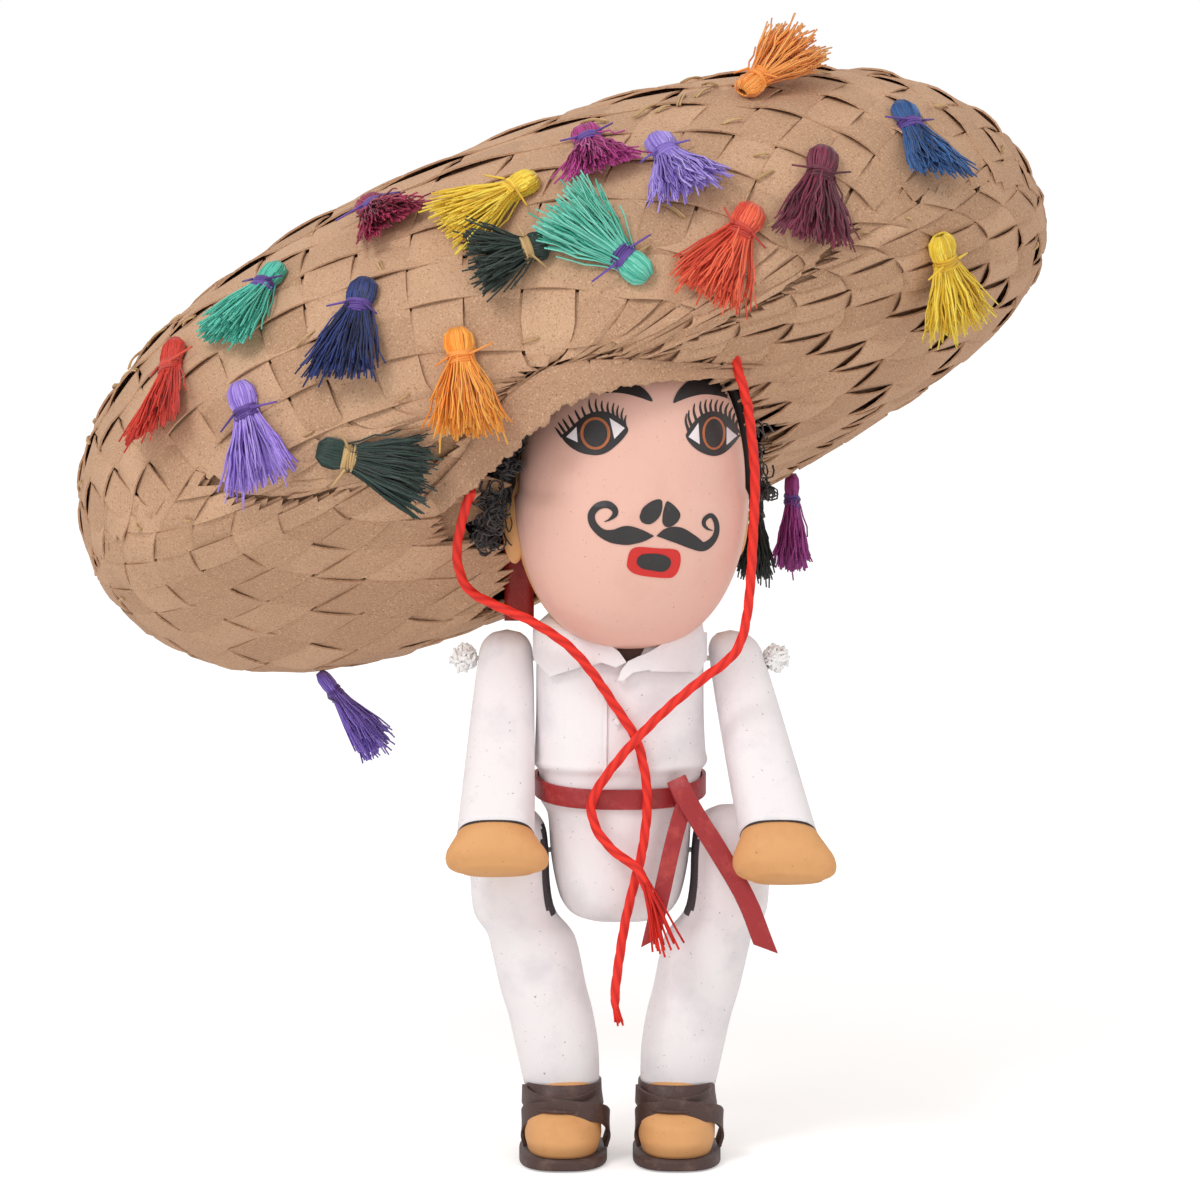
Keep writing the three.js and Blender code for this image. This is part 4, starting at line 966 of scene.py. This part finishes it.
def tassel(name, head, towards, dark, light, tie, length, lift):
    angle, rise = radians(head[0]), head[1]
    here = hat_point(angle, rise)
    normal = hat_normal(angle, rise)
    hanging = name in HANGING
    if hanging:
        axis = Vector((tan(radians(HANGING[name])), -0.1, -1)).normalized()
    else:
        along = (hat_point(radians(towards[0]), towards[1]) - here).normalized()
        axis = along * cos(radians(lift)) + normal * sin(radians(lift))
    side_way = normal.cross(axis).normalized()
    up_way = axis.cross(side_way).normalized()
    slim = 0.75 if hanging else 1
    start = here + normal * (1.5 if hanging else 3.4)
    lines = []
    for i in range(FIBRES):
        turn = rand(0, 2 * pi)
        depth = sqrt(rand(0.08, 1))
        reach = length * (rand(0.84, 1.06) if i % 9 else rand(0.6, 1.16))
        sway = Vector((dice.gauss(0, 1), dice.gauss(0, 1)))
        twist = rand(-0.35, 0.35)
        line = []
        for share in (0.0, 0.08, 0.17, 0.27, 0.38, 0.52, 0.68, 0.84, 1.0):
            fill = mix(0.75, 1, depth) if share < TIED else mix(depth, 1, 0.25) * depth**0.4
            width = bundle_width(share) * slim * fill
            loose = max(0.0, share - 0.35)
            around = turn + twist * loose
            frizz = 0.9 * loose * sin(19 * share + 9 * turn)
            x = width * cos(around) + sway.x * 3.2 * loose**1.3 + frizz
            y = width * FLATNESS * sin(around) + sway.y * 2 * loose**1.3 + frizz
            point = start + side_way * x + up_way * y + axis * reach * share
            if not hanging:
                point += normal * max(0.0, CLEARANCE - (point - here).dot(normal))
            line.append(point)
        lines.append((line, (0.46, 0.34), dice.random()))
    piece = strands(f"{name}_fibres", lines)
    slot = SLOTS.get(name, name) + "_fibre"
    settle(piece, f"tassel_{name}_fibres", fibre(f"{name}_plant_fibre", dark, light), slot=slot,
           hides=[f"tassel_{name}"])
    wraps = []
    for i in range(8):
        share = 0.235 + 0.015 * i
        width = (4.3 + 0.3 * sin(2.4 * i)) * slim
        loop = []
        for k in range(15):
            turn = 2 * pi * k / 14
            loop.append(start + axis * length * (share + 0.012 * sin(turn + i))
                        + side_way * width * cos(turn) + up_way * width * 0.78 * sin(turn))
        wraps.append((loop, (0.5, 0.5), dice.random()))
    for sign in (-1, 1):
        step = rand(1.6, 3.4)
        drift = rand(-1.6, 1.6)
        tail = [start + axis * length * 0.28 + side_way * sign * (3.6 + step * k)
                + up_way * (3 - 0.5 * k) + axis * drift * k for k in range(4)]
        wraps.append((tail, (0.5, 0.35), dice.random()))
    settle(strands(f"{name}_tie", wraps, 5), f"tassel_{name}_tie", TIES[tie], slot=slot)


for row in TASSELS:
    tassel(*row)

# Raffia stitches that hold the plait together, each of two threads side by side
STITCHES = 46
stitches = []
for i in range(STITCHES):
    angle = radians(rand(185, 355))
    rise = rand(0.35, 1.25)
    turn = rand(0, pi)
    size = rand(5, 11)
    for offset in (0, 0.9):
        line = []
        for k in range(6):
            s = (k / 5 - 0.5) * size
            x = rise * cos(angle) + (s * cos(turn) + offset) / FLAT_WIDTH
            y = rise * sin(angle) + s * sin(turn) / FLAT_DEPTH
            spot = atan2(y, x), hypot(x, y)
            line.append(hat_point(*spot, 1.3 + 0.9 * cos(pi * (k / 5 - 0.5))))
        stitches.append((line, (0.45, 0.4), dice.random()))
settle(strands("raffia_stitches", stitches, 4), "raffia_stitches", RAFFIA, slot="kraft_board")

# Shirt body, with the pelvis below the belt
TORSO_ROWS = [
    (83.5, 11, 8), (85.5, 16, 13.5), (88.5, 19.2, 16.8), (94, 21.8, 19.5), (106, 24.2, 21), (121, 25.4, 21.2),
    (127, 28.2, 21.6), (136, 28.4, 21.7), (140, 30.7, 23.9), (144, 30, 23.3), (157, 29.4, 22.7), (172, 29.3, 22.4),
    (182, 29, 21.6), (188, 27.8, 18.6), (192, 21.5, 11),
]


def torso(turn, share):
    share, open_share = end_share(share, 60)
    z, half_width, half_depth = column_value(TORSO_ROWS, share)
    x, y = ring_point(turn, half_width * open_share, half_depth * open_share, 2.5)
    return x, y, z


shirt = settle(ball(64, 60, torso), "shirt_body", WHITE, slot="white_paint", hides=["torso"])

shirt_surface = seen_surface(shirt)
shirt_folds = [
    # the neck seen in the collar's opening: a dark brown patch of painted shade laid on the shirt
    ("collar_opening_painted_shade", NECK_PAINTED_SHADE, "neck_paint", 0.4, [
        (616, 645), (646, 645), (640, 656), (627, 664), (619, 655)]),
    ("shirt_placket", WHITE, "white_paint", 0.5, [
        (603, 684), (607, 684), (607, 725), (606.5, 773), (603, 773), (603.5, 725)]),
    ("collar_right_flap", WHITE, "white_paint", 2.0, [
        (528, 626), (526, 640), (539, 659), (553, 676), (568, 671), (585, 665), (602, 662), (616, 667), (626, 662),
        (619, 652), (600, 640), (575, 630), (550, 622)]),
    ("collar_left_flap", WHITE, "white_paint", 2.0, [
        (628, 661), (621, 670), (618, 680), (623, 680), (633, 672), (648, 669), (668, 671), (682, 671), (694, 672),
        (704, 660), (711, 640), (708, 624), (690, 630), (668, 644), (645, 654)]),
]
for name, material, slot, lift, outline in shirt_folds:
    paint(name, [outline], shirt_surface, lift, material, slot)
for i, (x, y, z) in enumerate([(0.5, -24.6, 171.5), (-0.6, -23.9, 157)]):
    button = ball(20, 10, lambda turn, share, x=x, y=y, z=z: (
        x + 1.5 * sin(pi * share) * cos(turn), y - 0.7 * cos(pi * share),
        z + 1.5 * sin(pi * share) * sin(turn)))
    settle(button, f"shirt_button_{i + 1}", WHITE, slot="white_paint")

for side, sign in SIDES:

    def leaf(u, v, sign=sign):
        angle = radians(-84 + u * 170)
        front = exp(-((u / 0.2) ** 2))
        radius = 15.9 + v * 9.5
        height = 200 - 3 * cos(angle) - v * 9.5 - 6 * (1 - v) * front
        return sign * radius * cos(angle) * 1.12, radius * sin(angle), height

    settle(sheet(48, 14, leaf, 1.8, offset=0, edge=0.5), f"collar_{side}_leaf", WHITE, slot="white_paint",
           hides=[f"collar_{side}"])

# Belt
BELT_MIDDLE, BELT_HEIGHT = 132, 7


def belt(u, v):
    turn = 2 * pi * u
    x, y = ring_point(turn, 28.9, 21.9, 2.5)
    dip = 2.9 * max(0, -sin(turn)) ** 1.5
    return x, y, BELT_MIDDLE + (v - 0.5) * BELT_HEIGHT - dip + 0.2 * sin(3 * turn)


settle(sheet(96, 4, belt, 1.4, closed=True, offset=1, edge=0.3), "red_belt_band", RED_LEATHER,
       slot="red_leather", hides=["belt"])
KNOT = Vector((21.8, -21.8, BELT_MIDDLE - 1))


def knot_loop(u, v):
    turn = 2 * pi * u
    return KNOT + Vector((6.4 * (v - 0.5) - 2.2 * sin(turn), -2.4 * cos(turn) - 0.4,
                          4.6 * sin(turn) + 1.6 * (v - 0.5)))


settle(sheet(40, 5, knot_loop, 1.1, closed=True, offset=0, edge=0.3), "red_belt_knot", RED_LEATHER,
       slot="red_leather", hides=["belt_knot"])


def tail_strip(points, width, end_cut):
    """A flat strip along a path, its end cut slantwise."""
    path = smooth_path(points, 8)

    def shape(u, v):
        place = v * (len(path) - 1)
        i = min(int(place), len(path) - 2)
        point = mix(path[i], path[i + 1], place - i)
        way = (path[i + 1] - path[i]).normalized()
        across = Vector((-way.z, 0, way.x)).normalized()
        return point + across * (u - 0.5) * width + way * end_cut * (u - 0.5) * v

    return shape


for name, width, end_cut, points in (
    ("inner", 5.8, -5, [(24.5, -23.4, 133), (21.6, -25, 126), (18.2, -27, 114), (14.6, -29, 98),
                        (10.6, -30.5, 80.5)]),
    ("outer", 6.8, 6, [(19.6, -24.2, 137), (22, -26.4, 132), (27.2, -27, 123), (33.6, -28, 113),
                       (43.5, -30.5, 96), (50.5, -32.5, 78.5)]),
):
    tail = sheet(3, 40, tail_strip(points, width, end_cut), 1.2, offset=0, edge=0.2)
    settle(tail, f"red_belt_tail_{name}", RED_LEATHER, slot="red_leather", hides=[f"belt_tail_{name}"])

nape = tail_strip([(-38, 8, 238), (-36.5, 10, 223), (-35.5, 12.5, 206), (-35.5, 14, 187.5)], 10.4, 0)
settle(sheet(4, 24, nape, 1.2, offset=0), "dark_red_nape_strap", DARK_RED_LEATHER, slot="red_leather",
       hides=["nape_strap"])

# Arms
SHOULDER, HIP = 176, 108  # heights of the cross strings
# width as a share of 17 mm and half depth, from the wrist to the fingertips
HAND_ROWS = [(0.79, 10.8), (0.86, 11.2), (0.95, 11), (1.03, 10.4), (1.05, 9.4), (0.98, 7.4), (0.72, 4)]


def cross_section(centre, way, half_width, half_depth, turn):
    tilt = atan2(-way.y, -way.z)
    x, y = ring_point(turn, half_width, half_depth, 2.3)
    return centre + Vector((x, y * cos(tilt), -y * sin(tilt)))


def shade_gap_faces(piece, in_gap):
    """Turns some faces dark grey: painted shade in the gaps where parts meet."""
    piece.data.materials.append(GAP_PAINTED_SHADE)
    for facet in piece.data.polygons:
        if in_gap(facet):
            facet.material_index = 1


# where the arm's inner side hangs, how far it swings outward, and the hand's length
for side, sign, inner_x, splay, reach in (("right", -1, 30.6, 0, 14), ("left", 1, 31.4, 11, 17.4)):
    top_x = inner_x + 9.5
    spine = [Vector((sign * top_x, 0, SHOULDER)), Vector((sign * (top_x + 1.5 + splay / 2), -7.8, SHOULDER - 30)),
             Vector((sign * (inner_x + 12.6 + splay), -28.6, SHOULDER - 58))]

    def spine_point(t, spine=spine):
        return spine[0] * (1 - t) ** 2 + spine[1] * 2 * t * (1 - t) + spine[2] * t * t

    def spine_way(t, spine=spine):
        return ((spine[1] - spine[0]) * (1 - t) + (spine[2] - spine[1]) * t).normalized()

    def sleeve(turn, share, point=spine_point, way=spine_way):
        share, open_share = end_share(1 - share, 40)
        before = max(0.0, 0.2 - share) / 0.2
        t = max(0.0, share - 0.2) / 0.8
        centre = point(t) - way(0) * before * 10.2
        width = mix(9.5, 13.5, t**0.8) * (1 - before**2.4) ** 0.5
        depth = mix(10, 11.5, t) * (1 - before**2.4) ** 0.5
        flare = 1 + 0.02 * sin(5 * turn) * t
        return cross_section(centre, way(t), width * open_share * flare, depth * open_share * flare, turn)

    arm = f"{side}_arm_body"
    piece = settle(ball(48, 40, sleeve), f"{side}_painted_sleeve", WHITE, arm, "white_paint", [f"{side}_sleeve"])
    # the sleeve's end face round the hand: painted shade of the hollow cuff
    shade_gap_faces(piece, lambda facet: facet.normal.dot(spine_way(1)) > 0.92)

    def hand(turn, share, end=spine_point(1), way=spine_way(1), sign=sign, reach=reach):
        share, open_share = end_share(1 - share, 24)
        width, depth = column_value(HAND_ROWS, share)
        lumps = 1 + 0.03 * sin(3 * turn + 1) * share
        centre = end + way * (0.5 + reach * share) + Vector((sign * -1.2 * share, 0, 0))
        return cross_section(centre, way, 17 * width * open_share * lumps, depth * open_share * lumps, turn)

    settle(ball(40, 24, hand), f"{side}_tan_hand", TAN, arm, "skin_paint", [f"{side}_hand"])

# Legs: height, distance from the middle, half width and half depth
LEG_ROWS = [
    (25.2, 20.6, 13.4, 13.6), (38, 22.2, 14.6, 14.6), (50, 24.5, 15, 15.3), (59, 27, 15.2, 15.8),
    (73, 30, 15.4, 16.3), (79, 32, 15, 16.5), (86, 37, 14.4, 16.5), (96, 38.6, 14, 16.5), (108, 39, 13.9, 16.5),
    (116, 39.2, 13, 14.8), (121, 39.3, 10, 10.8), (123.4, 39.3, 5.4, 5.8),
]
for side, sign in SIDES:
    body = f"{side}_leg_body"

    def leg(turn, share, sign=sign):
        share, open_share = end_share(share, 48)
        z, x, half_width, half_depth = column_value(LEG_ROWS, share)
        dx, dy = ring_point(turn, half_width * open_share, half_depth * open_share, 2.4)
        return sign * x + dx, dy, z

    trouser = settle(ball(48, 48, leg), f"{side}_painted_trouser", WHITE, body, "white_paint", [f"{side}_leg"])
    # the trouser's end and its inner top by the pelvis: painted shade of the gaps
    shade_gap_faces(trouser, lambda facet: facet.normal.z < -0.92 or (
        -sign * facet.normal.x > 0.86 and facet.center.z > 0.083))

# Feet and sandals: height share, width and length shares, and how far back the middle lies
FOOT_ROWS = [(0, 0.94, 0.93, -9.5), (0.18, 1.04, 1.01, -9.5), (0.42, 1.03, 0.99, -9), (0.58, 0.97, 0.84, -6.5),
             (0.72, 0.92, 0.66, -2.6), (1, 0.9, 0.58, 0)]
FOOT_BOTTOM, FOOT_TOP = 3.5, 29.7


def foot_point(height, turn, extra):
    j = 0
    while j < len(FOOT_ROWS) - 2 and height > FOOT_ROWS[j + 1][0]:
        j += 1
    low, high = FOOT_ROWS[j], FOOT_ROWS[j + 1]
    t = (height - low[0]) / (high[0] - low[0])
    _, width, length, back = (mix(a, b, t) for a, b in zip(low, high))
    return Vector(((width * 13 + extra) * power(cos(turn), 0.86),
                   back + (length * 21.5 + extra) * power(sin(turn), 0.86), mix(FOOT_BOTTOM, FOOT_TOP, height)))


# degrees round the foot and height share, from the sole's edge over the instep to the ankle
STRAP_ROUTE = [(-186, 0.02), (-184, 0.16), (-180, 0.32), (-166, 0.46), (-140, 0.56), (-100, 0.62), (-50, 0.67),
               (-14, 0.72)]
for side, sign in SIDES:
    body = f"{side}_leg_body"
    aside = Vector((sign * 20, 0, 0))

    def foot(turn, share):
        share, open_share = end_share(share, 28)
        point = foot_point(share, turn, 0)
        middle = Vector((0, -7, point.z))
        return mix(middle, point, open_share) + aside

    settle(ball(44, 28, foot), f"{side}_tan_foot", TAN, body, "skin_paint", [f"{side}_foot"])

    def sole(turn, share):
        share, open_share = end_share(share, 8)
        x, y = ring_point(turn, 15.5 * open_share, 25 * open_share, 2.7)
        return x + aside.x, y - 8.5, 3.2 * share

    settle(ball(56, 8, sole), f"{side}_leather_sole", BROWN_LEATHER, body, "brown_leather", [f"{side}_sole"])

    def ankle(u, v):
        return foot_point(0.72 + (v - 0.5) * 0.3, 2 * pi * u, 0.5) + aside

    strap = sheet(72, 5, ankle, 1.2, closed=True, offset=1, edge=0.3)
    settle(strap, f"{side}_ankle_leather", BROWN_LEATHER, body, "brown_leather", [f"{side}_ankle_strap"])
    for name, turn_way, level in (("lower", 1, 1.2), ("upper", -1, 3.0)):

        def crossing(u, v, turn_way=turn_way, level=level):
            share = 1 - u if turn_way < 0 else u

            def middle(t, extra):
                turn, height = column_value(STRAP_ROUTE, min(1, max(0, t)))
                turn = radians(turn_way * turn + (180 if turn_way < 0 else 0))
                return foot_point(height, turn, extra)

            here = middle(share, level)
            way = middle(share + 0.02, level) - middle(share - 0.02, level)
            outward = middle(share, level + 1) - here
            across = way.cross(outward).normalized() * turn_way
            return here + across * (v - 0.5) * 6.6 + aside

        strap = sheet(40, 5, crossing, 1.2, offset=1, edge=0.3)
        settle(strap, f"{side}_{name}_leather", BROWN_LEATHER, body, "brown_leather", [f"{side}_{name}_strap"])

# String ends: fluffy cotton outside the shoulders, small knots at the hips. Each has its height, how far out it
# sits, its number of fibres and its size.
for name, height, reach, count, size in (("shoulder", SHOULDER, 51, 150, 5.5), ("hip", HIP, 53.8, 40, 3)):
    string = [Vector((x, 0, height)) for x in (-reach - 1, 0, reach + 1)]
    tuft = [(string, (0.9, 0.9), 0.5)]
    for sign in (-1, 1):
        middle = Vector((sign * (reach + 0.62 * size), 0, height))
        core = Vector((0.4 * size, 0, 0))
        tuft.append(([middle - core, middle, middle + core], (0.44 * size, 0.44 * size), 0.8))
        for i in range(count):
            way = Vector((dice.gauss(0, 1), dice.gauss(0, 1), dice.gauss(0, 1))).normalized()
            aside = way.orthogonal().normalized() * dice.choice((-1, 1))
            bend = way.cross(aside) * rand(-1, 1)
            size_here = size * rand(0.5, 0.72)
            line = []
            for t in (0, 0.25, 0.5, 0.75, 1):
                curled = way * sin(2.2 * t) + (aside + bend) * (0.55 * (1 - cos(2.2 * t)))
                point = middle + curled * size_here
                point.x = sign * max(sign * point.x, reach - 0.4)
                line.append(point)
            tuft.append((line, (0.85, 0.45), rand(0.6, 1)))
    piece = f"{name}_cotton_string"
    settle(strands(piece, tuft, 7), piece, COTTON, slot="cotton_string", hides=[f"{name}_string"])

# Floor, backdrop and light
bpy.ops.mesh.primitive_plane_add(size=12, location=(0, 0, -0.0006))
floor = bpy.context.object
floor.name = "pale_floor"
floor_material, floor_tree, floor_shader, _ = start_material("plain_pale_floor", 0.95)
floor_shader.inputs["Base Color"].default_value = colour("F4F3F2")
floor_shader.inputs["Specular IOR Level"].default_value = 0.0
FLOOR_GLOW = 0.34  # so that the camera sees the floor as pale as the backdrop
seen = node(floor_tree, "LightPath").outputs["Is Camera Ray"]
glow = node(floor_tree, "Math", {0: seen, 1: FLOOR_GLOW}, operation="MULTIPLY").outputs[0]
floor_tree.links.new(glow, floor_shader.inputs["Emission Strength"])
floor_shader.inputs["Emission Color"].default_value = (1, 1, 1, 1)
floor.data.materials.append(floor_material)

world = bpy.data.worlds.new("studio")
world.use_nodes = True
bpy.context.scene.world = world
background = world.node_tree.nodes["Background"]
rays = node(world.node_tree, "LightPath")
strength = node(world.node_tree, "Math",
                {0: rays.outputs["Is Camera Ray"], 1: 0.22, 2: 0.78}, operation="MULTIPLY_ADD")
world.node_tree.links.new(strength.outputs[0], background.inputs["Strength"])
background.inputs["Color"].default_value = (1, 1, 1, 1)


def lamp(name, place, power_w, size):
    made = bpy.data.objects.new(name, bpy.data.lights.new(name, "AREA"))
    bpy.context.scene.collection.objects.link(made)
    made.data.energy = power_w
    made.data.size = size
    made.location = Vector(place)
    made.rotation_euler = (AIM - made.location).to_track_quat("-Z", "Y").to_euler()


lamp("soft_key", (-0.9, -1.3, 1.7), 15, 0.6)
lamp("soft_fill", (1.3, -1.4, 0.7), 3, 1.2)
lamp("soft_low_fill", (-1.1, -1.7, 0.15), 2.5, 0.8)

bpy.context.scene.view_settings.view_transform = "Standard"
